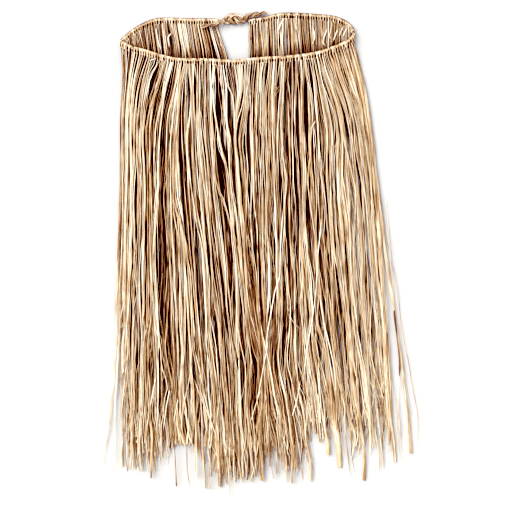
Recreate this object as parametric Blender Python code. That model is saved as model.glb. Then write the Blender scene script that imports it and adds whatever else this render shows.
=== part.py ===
"""A raffia grass skirt laid flat: a waist cord, a fringe on the front and on each half of the back, and the
cord's two ends in a half knot over the opening at the back.

Metres, +Z up. The skirt lies on the plane z = 0 with its waist towards +Y and its hem towards -Y. The origin
is under the middle of it. Levels are counted up from the surface: the back's strands fill the first two,
and the front's strands the third and fourth.
"""

import math
import random

import bmesh
import bpy
import numpy as np
from mathutils import Vector
from mathutils.geometry import interpolate_bezier

SEAM = 0.0003  # the gap between pieces that touch

# The skirt's own sizes.
WAIST_TOP = 0.414  # y of the back's waist line at its highest
HEM_END = -0.412  # y of the longest strand's tip
CORD_WIDTH = 0.004
LEVEL_AT_WAIST = 0.0040  # one level of strands, at the waist line
LEVEL_AT_HEM = 0.0024  # and at the hem, where the strands have thinned out
LEVEL_GAP = 0.0005

# A strand, as a lock of raffia: a flat four-sided ribbon that tapers to its tip.
STRAND_WIDTH = 0.0056
TIP_WIDTH = 0.0018
STRAND_GAP = 0.0008  # the least air between two strands of one level
SWAY = 0.0015  # to each side, at the hem
SWAY_TURNS = (25.0, 7.0)  # radians of sway across a fringe, and down a strand
HITCH_SHARE = 0.8  # of the pitch along the waist cord, the rest is air
ROOT_DROP = 0.012  # the way in which a strand reaches its own level
TIP_LIFT = 0.0003  # how far the lowest strands' tips stand off the surface
RING_SHARES = (0.10, 0.30, 0.54, 0.78, 1.0)  # of a strand's way down, one for each ring

# The strip of hitches, below the cord, in which the strands' roots are fused.
STRIP_DEPTH = 0.0050

# The waist cord, from the left of the opening at the back round to its right. (x, y, z) of its middle.
BACK_CORD_Z = 0.0024
FRONT_CORD_Z = 0.0130
BACK_LEFT_ROUTE = [
    (-0.0675, 0.3980, 0.0034),
    (-0.0830, 0.4005, BACK_CORD_Z),
    (-0.1220, 0.4008, BACK_CORD_Z),
    (-0.1620, 0.4018, BACK_CORD_Z),
    (-0.1810, 0.4000, BACK_CORD_Z),
    (-0.2010, 0.3925, BACK_CORD_Z),
    (-0.2200, 0.3805, BACK_CORD_Z),
    (-0.2320, 0.3700, 0.0029),
]
LEFT_CORNER = [
    (-0.2368, 0.3655, 0.0050),
    (-0.2382, 0.3635, 0.0078),
    (-0.2362, 0.3618, 0.0106),
]
FRONT_ROUTE = [
    (-0.2300, 0.3583, 0.0126),
    (-0.2200, 0.3533, FRONT_CORD_Z),
    (-0.1990, 0.3478, FRONT_CORD_Z),
    (-0.1640, 0.3372, FRONT_CORD_Z),
    (-0.1380, 0.3324, FRONT_CORD_Z),
    (-0.0930, 0.3318, FRONT_CORD_Z),
    (-0.0480, 0.3296, FRONT_CORD_Z),
    (0.0080, 0.3346, FRONT_CORD_Z),
    (0.0510, 0.3370, FRONT_CORD_Z),
    (0.0940, 0.3432, FRONT_CORD_Z),
    (0.1260, 0.3538, FRONT_CORD_Z),
    (0.1440, 0.3620, FRONT_CORD_Z),
    (0.1535, 0.3690, 0.0120),
]
RIGHT_CORNER = [
    (0.1570, 0.3765, 0.0090),
    (0.1552, 0.3850, 0.0054),
]
BACK_RIGHT_ROUTE = [
    (0.1490, 0.3925, 0.0030),
    (0.1390, 0.3995, BACK_CORD_Z),
    (0.1200, 0.4055, BACK_CORD_Z),
    (0.0940, 0.4080, BACK_CORD_Z),
    (0.0510, 0.4105, BACK_CORD_Z),
    (0.0280, 0.4090, BACK_CORD_Z),
    (0.0050, 0.4035, BACK_CORD_Z),
    (-0.0170, 0.4005, BACK_CORD_Z),
    (-0.0245, 0.3995, 0.0034),
]

# The half knot: the two ends wind round each other, half a turn three times, along X.
KNOT_ENDS = (-0.0620, -0.0300)  # x where the winding starts and stops
KNOT_MIDDLE = (0.3995, 0.0062)  # y and z of its axis
KNOT_HALF_TURNS = 3
KNOT_TIGHT = 0.0024  # from the axis to each end's middle, at the winding's two ends
KNOT_LOOSE = (0.0052, 0.0030)  # and halfway along, across the skirt and up
FREE_END_RIGHT = [
    (-0.0230, 0.4065, 0.0080),
    (-0.0120, 0.4085, 0.0075),
    (-0.0020, 0.4100, 0.0070),
    (0.0080, 0.4135, 0.0066),
]
FREE_END_LEFT = [
    (-0.0700, 0.3940, 0.0108),
    (-0.0790, 0.3915, 0.0114),
    (-0.0890, 0.3900, 0.0114),
    (-0.1010, 0.3895, 0.0112),
]

# The fringe's three nodes. Columns: name; the route that it hangs from; how far in from each end of the
# route the strip starts and stops; strands; first level; hem x at the strip's left and right ends; and the
# power with which a strand leans out there, where less than 1 leans out early and more leans out late.
FRINGES = [
    ("fringe_front", FRONT_ROUTE, (0.004, 0.001), 126, 2, (-0.270, 0.272), (1.2, 0.60)),
    ("fringe_back_left", BACK_LEFT_ROUTE[::-1], (0.002, 0.008), 58, 0, (-0.273, -0.034), (1.2, 0.35)),
    ("fringe_back_right", BACK_RIGHT_ROUTE[::-1], (0.003, 0.009), 61, 0, (-0.016, 0.276), (1.0, 0.60)),
]
FRONT_STRIP = (0.0095, 0.0155)  # z of the strip's two faces, on the front
BACK_STRIP = (0.0, 0.0044)  # and on the back, where it rests on the surface

# The hem: how low the strands reach. Columns: x, and y of the longest tips there.
HEM = [
    (-0.267, -0.360),
    (-0.236, -0.358),
    (-0.206, -0.365),
    (-0.177, -0.342),
    (-0.143, -0.390),
    (-0.119, -0.395),
    (-0.070, -0.392),
    (-0.060, -0.408),
    (-0.050, HEM_END),
    (-0.032, -0.388),
    (0.005, -0.382),
    (0.041, -0.383),
    (0.071, -0.392),
    (0.094, -0.298),
    (0.114, -0.337),
    (0.153, -0.378),
    (0.175, -0.382),
    (0.189, -0.325),
    (0.201, -0.368),
    (0.226, -0.349),
    (0.267, -0.330),
]
SHORTER = 0.055  # strands end up to this much above the longest near them


def material(name, colour, roughness):
    """A Principled BSDF of one colour."""
    made = bpy.data.materials.new(name)
    made.use_nodes = True
    shader = made.node_tree.nodes["Principled BSDF"]
    shader.inputs["Base Color"].default_value = (*colour, 1.0)
    shader.inputs["Roughness"].default_value = roughness
    shader.inputs["Metallic"].default_value = 0.0
    return made


def smooth_route(points, per_stretch):
    """Points along a smooth curve through the given ones, per_stretch of them for each stretch."""
    knots = [Vector(p) for p in points]
    before = [2 * knots[0] - knots[1]] + knots[:-1]
    after = knots[1:] + [2 * knots[-1] - knots[-2]]
    handles = [(b - a) / 6 for a, b in zip(before, after)]
    route = []
    for i in range(len(knots) - 1):
        stretch = (knots[i], knots[i] + handles[i], knots[i + 1] - handles[i + 1], knots[i + 1])
        route += interpolate_bezier(*stretch, per_stretch + 1)[:-1]
    return route + [knots[-1]]


def add_cord(name, route, surface):
    """A round cord along a route, as a curve with a bevel and filled ends."""
    curve = bpy.data.curves.new(name, "CURVE")
    curve.dimensions = "3D"
    curve.bevel_depth = CORD_WIDTH / 2
    curve.bevel_resolution = 2
    curve.use_fill_caps = True
    spline = curve.splines.new("POLY")
    spline.points.add(len(route) - 1)
    for point, place in zip(spline.points, route):
        point.co = (*place, 1.0)
    curve.materials.append(surface)
    cord = bpy.data.objects.new(name, curve)
    bpy.context.scene.collection.objects.link(cord)
    return cord


class Band:
    """The waist line that a strip hangs from, measured along its length."""

    def __init__(self, route):
        self.points = np.array([tuple(p)[:2] for p in smooth_route(route, 12)])
        steps = np.linalg.norm(np.diff(self.points, axis=0), axis=1)
        self.along = np.concatenate([[0.0], np.cumsum(steps)])
        self.length = self.along[-1]

    def place(self, distance):
        return np.array([np.interp(distance, self.along, self.points[:, k]) for k in (0, 1)])

    def heading(self, distance):
        """The unit vector along the band, left to right."""
        step = 0.004
        way = self.place(min(distance + step, self.length)) - self.place(max(distance - step, 0.0))
        return way / np.linalg.norm(way)

    def below(self, distance, drop):
        """The point that lies drop below the band, square to it."""
        along = self.heading(distance)
        return self.place(distance) + drop * np.array([along[1], -along[0]])


def hem_at(x):
    """y of the longest tips at x."""
    columns = np.array(HEM)
    return float(np.interp(x, columns[:, 0], columns[:, 1]))


def level_height(y):
    """The height of one level of strands at y."""
    share = np.clip((y - HEM_END) / (WAIST_TOP - HEM_END), 0.0, 1.0)
    return LEVEL_AT_HEM + share * (LEVEL_AT_WAIST - LEVEL_AT_HEM)


class Fringe:
    """One strip of hitches and the strands that hang from it."""

    def __init__(self, route, ends, count, first_level, hem, lean):
        self.band = Band(route)
        self.start = ends[0]
        self.pitch = (self.band.length - ends[0] - ends[1]) / count
        self.count = count
        self.first_level = first_level
        self.hem = hem
        self.lean = lean
        self.strip_z = FRONT_STRIP if first_level else BACK_STRIP
        self.top = CORD_WIDTH / 2 + SEAM
        chance = random.Random(count)
        self.shorter = [SHORTER * chance.random() ** 2 for _ in range(count)]

    def middle(self, index):
        """How far along the band a strand's hitch lies."""
        return self.start + (index + 0.5) * self.pitch

    def root(self, index):
        return self.band.below(self.middle(index), self.top + STRIP_DEPTH)

    def place(self, index, share):
        """The middle of strand index, share of the way from its root to its tip."""
        root = self.root(index)
        across = (index + 0.5) / self.count
        hem_x = self.hem[0] + across * (self.hem[1] - self.hem[0])
        power = self.lean[0] + across * (self.lean[1] - self.lean[0])
        nearest = int(np.clip(index, 0, self.count - 1))
        tip_y = hem_at(hem_x) + self.shorter[nearest]
        y = root[1] + (tip_y - root[1]) * share
        down = (root[1] - y) / (root[1] - HEM_END)
        x = root[0] + (hem_x - root[0]) * down**power
        x += SWAY * down * math.sin(SWAY_TURNS[0] * across + SWAY_TURNS[1] * down)
        return np.array([x, y])

    def width(self, index, share):
        """A strand's width, less where its level's neighbours stand close."""
        neighbours = self.place(index + 1, share)[0] - self.place(index - 1, share)[0]
        full = min(STRAND_WIDTH, abs(neighbours) - STRAND_GAP)
        return TIP_WIDTH + (full - TIP_WIDTH) * min(1.0, 2.2 * (1.0 - share))

    def ring(self, index, share):
        """The four corners of a strand: left and right on its underside, then on its upper side."""
        level = self.first_level + index % 2
        middle = self.place(index, share)
        height = level_height(middle[1])
        low = level * height + (LEVEL_GAP / 2 if level else 0.0)
        high = (level + 1) * height - LEVEL_GAP / 2
        if share == 1.0 and level == 0:
            low += TIP_LIFT
        if share == RING_SHARES[0]:
            half = 0.5 * HITCH_SHARE * self.pitch * self.band.heading(self.middle(index))[0]
        else:
            half = 0.5 * self.width(index, share)
        return [(middle[0] + side * half, middle[1], z) for z in (low, high) for side in (-1, 1)]


def strip_ring(fringe, distance):
    """The strip's four corners at a distance along the band, in order round it, from its lower upper one."""
    upper = fringe.band.below(distance, fringe.top)
    lower = fringe.band.below(distance, fringe.top + STRIP_DEPTH)
    low, high = fringe.strip_z
    return [(*upper, low), (*lower, low), (*lower, high), (*upper, high)]


def make_strip(bm, fringe):
    """A closed bar along the band, with a face for each strand's root. Returns those faces."""
    edges = []
    for index in range(fringe.count):
        half = 0.5 * HITCH_SHARE * fringe.pitch
        edges += [fringe.middle(index) - half, fringe.middle(index) + half]
    rings = [[bm.verts.new(corner) for corner in strip_ring(fringe, at)] for at in edges]
    roots = []
    for number, (left, right) in enumerate(zip(rings, rings[1:])):
        for k in range(4):
            corners = (left[k], left[(k + 1) % 4], right[(k + 1) % 4], right[k])
            face = bm.faces.new(corners)
            if k == 1 and number % 2 == 0:
                roots.append(face)
    bm.faces.new(rings[0][::-1])
    bm.faces.new(rings[-1])
    return roots


def grow_strand(bm, fringe, index, root):
    """Extrudes a strand out of its root's face, one ring after another."""
    middle = fringe.root(index)
    mean_z = sum(fringe.strip_z) / 2
    face = root
    for share in RING_SHARES:
        corners = fringe.ring(index, share)
        face = bmesh.ops.extrude_discrete_faces(bm, faces=[face])["faces"][0]
        for vert in face.verts:
            right = vert.co.x > middle[0]
            upper = vert.co.z > mean_z
            vert.co = corners[2 * upper + right]
        middle = fringe.place(index, share)
        mean_z = sum(corner[2] for corner in corners) / 4


def add_fringe(name, route, ends, count, first_level, hem, lean, surface):
    """A strip of hitches with its strands, as one closed body."""
    fringe = Fringe(route, ends, count, first_level, hem, lean)
    bm = bmesh.new()
    for index, root in enumerate(make_strip(bm, fringe)):
        grow_strand(bm, fringe, index, root)
    bmesh.ops.recalc_face_normals(bm, faces=bm.faces)
    mesh = bpy.data.meshes.new(name)
    bm.to_mesh(mesh)
    bm.free()
    mesh.materials.append(surface)
    made = bpy.data.objects.new(name, mesh)
    bpy.context.scene.collection.objects.link(made)
    return made


def knot_route(first_angle):
    """One cord's way through the half knot, from left to right."""
    steps = 14
    route = []
    for step in range(steps + 1):
        share = step / steps
        angle = first_angle + KNOT_HALF_TURNS * math.pi * share
        swell = math.sin(math.pi * share)
        across = KNOT_TIGHT + (KNOT_LOOSE[0] - KNOT_TIGHT) * swell
        upward = KNOT_TIGHT + (KNOT_LOOSE[1] - KNOT_TIGHT) * swell
        x = KNOT_ENDS[0] + (KNOT_ENDS[1] - KNOT_ENDS[0]) * share
        y = KNOT_MIDDLE[0] + across * math.cos(angle)
        route.append((x, y, KNOT_MIDDLE[1] + upward * math.sin(angle)))
    return route


def carry_on(end, neighbour):
    """The first two points of the cord that carries on from another's end, with a seam's gap."""
    way = (Vector(end) - Vector(neighbour)).normalized()
    return [tuple(Vector(end) + past * way) for past in (SEAM, SEAM + CORD_WIDTH / 2)]


def main():
    for old in list(bpy.data.objects):
        bpy.data.objects.remove(old)
    raffia_front = material("raffia_front", (0.66, 0.48, 0.28), 0.6)
    raffia_back = material("raffia_back", (0.50, 0.34, 0.18), 0.65)
    cord = material("cord", (0.72, 0.55, 0.34), 0.7)

    waist = BACK_LEFT_ROUTE + LEFT_CORNER + FRONT_ROUTE + RIGHT_CORNER + BACK_RIGHT_ROUTE
    add_cord("waist_cord", smooth_route(waist, 2), cord)

    for name, *sizes in FRINGES:
        surface = raffia_front if name == "fringe_front" else raffia_back
        add_fringe(name, *sizes, surface)

    through = carry_on(waist[0], waist[1]) + knot_route(-math.pi / 2) + FREE_END_RIGHT
    add_cord("tie_from_left", smooth_route(through, 1), cord)
    through = carry_on(waist[-1], waist[-2]) + knot_route(math.pi / 2)[::-1] + FREE_END_LEFT
    add_cord("tie_from_right", smooth_route(through, 1), cord)


if __name__ == "__main__":
    main()
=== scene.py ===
"""The looks of a raffia grass skirt that lies flat, with its waist open at the back over a half knot.

Metres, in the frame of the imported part: +X to the right, +Y from the hem to the waist, +Z up from the
surface. A strand of raffia is a thin ribbon, curled across its width. Strands are swept along lines
that a table of leading strands gives, and they lie on each other in levels. A strand's lane is its x at
the waist cord, and its drop is how far below the cord it has come. Tints go from brown at 0 to cream at 1.
"""

import math

import bmesh
import bpy
import numpy as np
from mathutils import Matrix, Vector
from mathutils.geometry import interpolate_bezier


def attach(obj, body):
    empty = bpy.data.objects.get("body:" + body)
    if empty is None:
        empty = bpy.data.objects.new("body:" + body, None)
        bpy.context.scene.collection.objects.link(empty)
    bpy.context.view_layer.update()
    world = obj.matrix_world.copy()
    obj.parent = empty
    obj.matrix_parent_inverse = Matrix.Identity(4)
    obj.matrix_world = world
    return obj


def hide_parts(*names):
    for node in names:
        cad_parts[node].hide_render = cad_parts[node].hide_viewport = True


bl_info = {
    "name": "Raffia Grass Skirt",
    "version": (1, 0, 0),
    "blender": (4, 5, 0),
    "location": "3D View > Sidebar > Grass Skirt",
    "description": "Makes a raffia grass skirt laid flat, its ties, and the floor and lights to see it by",
    "category": "Object",
}

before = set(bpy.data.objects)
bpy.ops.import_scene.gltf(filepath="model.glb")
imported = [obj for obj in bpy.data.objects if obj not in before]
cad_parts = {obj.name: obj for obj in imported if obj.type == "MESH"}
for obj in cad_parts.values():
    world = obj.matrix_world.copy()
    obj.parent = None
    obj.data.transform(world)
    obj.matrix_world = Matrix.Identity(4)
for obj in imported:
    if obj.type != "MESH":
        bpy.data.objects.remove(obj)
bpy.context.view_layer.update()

# ---------------------------------------------------------------- routes and tables, in metres

BACK_CORD_Z = 0.0024
FRONT_CORD_Z = 0.0130
BACK_LEFT_ROUTE = [
    (-0.0675, 0.3980, 0.0034),
    (-0.0830, 0.4005, BACK_CORD_Z),
    (-0.1220, 0.4008, BACK_CORD_Z),
    (-0.1620, 0.4018, BACK_CORD_Z),
    (-0.1810, 0.4000, BACK_CORD_Z),
    (-0.2010, 0.3925, BACK_CORD_Z),
    (-0.2200, 0.3805, BACK_CORD_Z),
    (-0.2320, 0.3700, 0.0029),
]
LEFT_CORNER = [
    (-0.2368, 0.3655, 0.0050),
    (-0.2382, 0.3635, 0.0078),
    (-0.2362, 0.3618, 0.0106),
]
FRONT_ROUTE = [
    (-0.2300, 0.3583, 0.0126),
    (-0.2200, 0.3533, FRONT_CORD_Z),
    (-0.1990, 0.3478, FRONT_CORD_Z),
    (-0.1640, 0.3372, FRONT_CORD_Z),
    (-0.1380, 0.3324, FRONT_CORD_Z),
    (-0.0930, 0.3318, FRONT_CORD_Z),
    (-0.0480, 0.3296, FRONT_CORD_Z),
    (0.0080, 0.3346, FRONT_CORD_Z),
    (0.0510, 0.3370, FRONT_CORD_Z),
    (0.0940, 0.3432, FRONT_CORD_Z),
    (0.1260, 0.3538, FRONT_CORD_Z),
    (0.1440, 0.3620, FRONT_CORD_Z),
    (0.1535, 0.3690, 0.0120),
]
RIGHT_CORNER = [
    (0.1570, 0.3765, 0.0090),
    (0.1552, 0.3850, 0.0054),
]
BACK_RIGHT_ROUTE = [
    (0.1490, 0.3925, 0.0030),
    (0.1390, 0.3995, BACK_CORD_Z),
    (0.1200, 0.4055, BACK_CORD_Z),
    (0.0940, 0.4080, BACK_CORD_Z),
    (0.0510, 0.4105, BACK_CORD_Z),
    (0.0280, 0.4090, BACK_CORD_Z),
    (0.0050, 0.4035, BACK_CORD_Z),
    (-0.0170, 0.4005, BACK_CORD_Z),
    (-0.0245, 0.3995, 0.0034),
]
WAIST_ROUTE = BACK_LEFT_ROUTE + LEFT_CORNER + FRONT_ROUTE + RIGHT_CORNER + BACK_RIGHT_ROUTE

KNOT_ENDS = (-0.0620, -0.0300)
KNOT_MIDDLE = (0.3995, 0.0062)
KNOT_HALF_TURNS = 3
KNOT_TIGHT = 0.0024
KNOT_LOOSE = (0.0052, 0.0030)
FREE_END_RIGHT = [
    (-0.0230, 0.4065, 0.0080),
    (-0.0120, 0.4085, 0.0075),
    (-0.0020, 0.4100, 0.0070),
    (0.0080, 0.4135, 0.0066),
]
FREE_END_LEFT = [
    (-0.0700, 0.3940, 0.0108),
    (-0.0790, 0.3915, 0.0114),
    (-0.0890, 0.3900, 0.0114),
    (-0.1010, 0.3895, 0.0112),
]

# Leading strands of the front, with x at each of these drops below the waist cord.
FRONT_DROPS = (0.0, 0.040, 0.100, 0.200, 0.350, 0.550, 0.720)
FRONT_LEADERS = [
    (-0.240, -0.2375, -0.239, -0.2410, -0.2455, -0.250, -0.256),
    (-0.206, -0.216, -0.224, -0.224, -0.226, -0.231, -0.235),
    (-0.175, -0.190, -0.200, -0.199, -0.201, -0.202, -0.204),
    (-0.141, -0.149, -0.162, -0.167, -0.165, -0.162, -0.156),
    (-0.133, -0.139, -0.143, -0.143, -0.134, -0.124, -0.116),
    (-0.121, -0.120, -0.119, -0.114, -0.099, -0.082, -0.070),
    (-0.095, -0.096, -0.094, -0.085, -0.071, -0.054, -0.043),
    (-0.077, -0.0765, -0.073, -0.058, -0.044, -0.031, -0.022),
    (-0.066, -0.062, -0.056, -0.048, -0.034, -0.022, -0.014),
    (-0.056, -0.046, -0.044, -0.041, -0.027, -0.015, -0.005),
    (-0.031, -0.031, -0.041, -0.037, -0.020, -0.005, 0.005),
    (-0.017, -0.020, -0.024, -0.024, -0.015, 0.000, 0.014),
    (0.002, -0.003, -0.003, 0.000, 0.005, 0.014, 0.033),
    (0.034, 0.032, 0.031, 0.034, 0.036, 0.045, 0.064),
    (0.063, 0.065, 0.063, 0.066, 0.072, 0.087, 0.107),
    (0.077, 0.082, 0.085, 0.088, 0.100, 0.121, 0.138),
    (0.100, 0.112, 0.131, 0.136, 0.146, 0.163, 0.179),
    (0.124, 0.135, 0.157, 0.174, 0.188, 0.203, 0.216),
    (0.141, 0.153, 0.169, 0.184, 0.196, 0.210, 0.224),
    (0.156, 0.169, 0.182, 0.194, 0.204, 0.216, 0.231),
]
# How much paler the front's strands are than usual. Columns: lane, and the tint that is added at the
# waist and at the hem.
FRONT_PALER = [
    (-0.238, -0.20, -0.30),
    (-0.224, -0.04, -0.04),
    (-0.205, 0.14, 0.12),
    (-0.165, -0.14, -0.02),
    (-0.143, -0.32, -0.36),
    (-0.126, 0.10, 0.20),
    (-0.100, 0.26, -0.06),
    (-0.085, 0.02, 0.12),
    (-0.060, 0.02, -0.44),
    (-0.030, 0.04, -0.30),
    (-0.008, -0.08, -0.36),
    (0.036, -0.02, -0.06),
    (0.060, -0.14, 0.14),
    (0.083, 0.06, -0.14),
    (0.100, 0.16, 0.24),
    (0.125, 0.22, 0.32),
    (0.156, -0.30, 0.04),
]
# Leading strands of the back, in the same way.
BACK_DROPS = (0.0, 0.060, 0.200, 0.450, 0.740)
BACK_LEFT_LEADERS = [
    (-0.234, -0.226, -0.232, -0.240, -0.252),
    (-0.190, -0.182, -0.185, -0.190, -0.194),
    (-0.141, -0.133, -0.131, -0.133, -0.134),
    (-0.104, -0.093, -0.087, -0.080, -0.073),
    (-0.072, -0.051, -0.044, -0.036, -0.031),
]
BACK_RIGHT_LEADERS = [
    (-0.022, -0.023, -0.020, -0.015, -0.009),
    (0.024, 0.027, 0.032, 0.041, 0.049),
    (0.066, 0.070, 0.077, 0.090, 0.104),
    (0.109, 0.109, 0.128, 0.160, 0.190),
    (0.134, 0.131, 0.163, 0.196, 0.216),
    (0.152, 0.155, 0.190, 0.211, 0.230),
]

# The hem. Columns: x, y where the longest of most strands end, and how much shorter others can be.
HEM = [
    (-0.255, -0.190, 0.20),
    (-0.238, -0.290, 0.20),
    (-0.226, -0.366, 0.12),
    (-0.206, -0.372, 0.08),
    (-0.185, -0.372, 0.08),
    (-0.172, -0.362, 0.08),
    (-0.158, -0.342, 0.05),
    (-0.145, -0.323, 0.006),
    (-0.108, -0.323, 0.006),
    (-0.100, -0.372, 0.10),
    (-0.085, -0.392, 0.07),
    (-0.061, -0.388, 0.05),
    (-0.030, -0.384, 0.05),
    (0.000, -0.380, 0.09),
    (0.009, -0.350, 0.06),
    (0.036, -0.348, 0.06),
    (0.045, -0.384, 0.07),
    (0.070, -0.384, 0.08),
    (0.080, -0.350, 0.08),
    (0.088, -0.306, 0.04),
    (0.104, -0.308, 0.04),
    (0.126, -0.322, 0.06),
    (0.151, -0.342, 0.08),
    (0.177, -0.346, 0.06),
    (0.190, -0.326, 0.05),
    (0.219, -0.338, 0.11),
    (0.233, -0.326, 0.24),
]
# Strands that reach out of the hem, or end it. Columns: x and y of the tip, width, and tint.
LONG_STRANDS = [
    (-0.236, -0.358, 0.0042, 0.38),
    (-0.229, -0.368, 0.0020, 0.70),
    (-0.222, -0.362, 0.0030, 0.60),
    (-0.204, -0.366, 0.0040, 0.62),
    (-0.187, -0.377, 0.0036, 0.45),
    (-0.170, -0.381, 0.0016, 0.75),
    (-0.143, -0.391, 0.0044, 0.30),
    (-0.120, -0.394, 0.0014, 0.40),
    (-0.111, -0.376, 0.0030, 0.60),
    (-0.1440, -0.3175, 0.0028, 0.60),
    (-0.1385, -0.3190, 0.0026, 0.42),
    (-0.1325, -0.3180, 0.0034, 0.62),
    (-0.1255, -0.3190, 0.0038, 0.66),
    (-0.1180, -0.3185, 0.0030, 0.58),
    (-0.1115, -0.3180, 0.0026, 0.50),
    (-0.095, -0.395, 0.0040, 0.55),
    (-0.086, -0.396, 0.0036, 0.60),
    (-0.070, -0.392, 0.0050, 0.25),
    (-0.053, -0.411, 0.0014, 0.50),
    (-0.045, -0.388, 0.0030, 0.60),
    (-0.032, -0.384, 0.0034, 0.55),
    (-0.015, -0.384, 0.0042, 0.50),
    (0.002, -0.382, 0.0050, 0.45),
    (0.015, -0.358, 0.0030, 0.62),
    (0.021, -0.378, 0.0046, 0.70),
    (0.026, -0.370, 0.0036, 0.55),
    (0.033, -0.344, 0.0026, 0.60),
    (0.041, -0.383, 0.0046, 0.60),
    (0.053, -0.386, 0.0030, 0.65),
    (0.070, -0.392, 0.0026, 0.60),
    (0.083, -0.382, 0.0072, 0.55),
    (0.101, -0.317, 0.0034, 0.30),
    (0.114, -0.338, 0.0056, 0.50),
    (0.134, -0.360, 0.0074, 0.50),
    (0.153, -0.379, 0.0018, 0.30),
    (0.160, -0.369, 0.0026, 0.35),
    (0.175, -0.382, 0.0066, 0.60),
    (0.188, -0.326, 0.0036, 0.45),
    (0.201, -0.370, 0.0016, 0.50),
    (0.209, -0.363, 0.0020, 0.50),
    (0.227, -0.351, 0.0052, 0.60),
    (0.237, -0.349, 0.0026, 0.55),
    (0.243, -0.358, 0.0014, 0.70),
    (0.255, -0.336, 0.0038, 0.62),
    (0.267, -0.326, 0.0014, 0.35),
]
# Where the front's strands draw together or part. Columns: x, y, half width, half height, and how
# strongly, which is below 0 where they part.
PULLS = [
    (-0.151, 0.234, 0.0068, 0.034, -0.7),
    (-0.126, 0.244, 0.0076, 0.058, -0.84),
    (-0.065, 0.145, 0.0076, 0.058, -0.8),
    (-0.074, 0.285, 0.0100, 0.028, 0.55),
    (-0.054, 0.256, 0.0068, 0.037, -0.5),
    (-0.034, 0.251, 0.0068, 0.037, -0.5),
    (-0.044, 0.196, 0.0119, 0.024, 0.6),
    (0.007, 0.307, 0.0059, 0.031, -0.63),
    (0.081, 0.273, 0.0076, 0.054, -0.77),
    (-0.172, -0.011, 0.0076, 0.071, -1.1),
    (-0.172, -0.118, 0.0068, 0.041, -0.9),
    (-0.015, 0.009, 0.0076, 0.082, -1.2),
    (0.022, 0.050, 0.0076, 0.051, -1.2),
    (-0.189, -0.161, 0.0068, 0.041, -0.9),
    (-0.158, -0.191, 0.0085, 0.054, -1.1),
    (-0.078, -0.106, 0.0068, 0.058, -1.0),
    (-0.015, -0.178, 0.0085, 0.068, -1.1),
    (0.007, -0.184, 0.0340, 0.051, 0.55),
    (-0.0085, -0.262, 0.0085, 0.030, -1.1),
    (0.0238, -0.262, 0.0075, 0.028, -1.1),
    (-0.133, 0.322, 0.0051, 0.014, -0.7),
    (-0.1836, 0.3190, 0.0036, 0.0075, -2.2),
    (0.117, 0.319, 0.0068, 0.024, -0.7),
    (-0.104, 0.264, 0.0068, 0.041, -0.56),
    (-0.024, 0.162, 0.0068, 0.044, -0.6),
    (0.041, 0.179, 0.0068, 0.048, -0.8),
    (0.059, 0.069, 0.0068, 0.051, -0.8),
    (0.104, 0.035, 0.0068, 0.051, -0.9),
    (-0.206, 0.111, 0.0068, 0.061, -0.7),
    (-0.141, 0.060, 0.0068, 0.061, -0.9),
    (-0.107, 0.009, 0.0068, 0.051, -0.8),
    (-0.049, -0.076, 0.0068, 0.051, -0.8),
    (0.100, -0.135, 0.0085, 0.061, -0.9),
    (0.143, 0.111, 0.0068, 0.068, -0.7),
    (0.046, -0.127, 0.0068, 0.044, -0.7),
    (0.165, -0.212, 0.0085, 0.068, -0.9),
    (0.195, -0.127, 0.0085, 0.061, -0.8),
    (0.228, -0.229, 0.0085, 0.061, -0.8),
    (-0.211, -0.127, 0.0068, 0.068, -0.7),
    (-0.124, -0.246, 0.0068, 0.041, -0.8),
    (0.066, -0.246, 0.0068, 0.041, -0.7),
]
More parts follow.
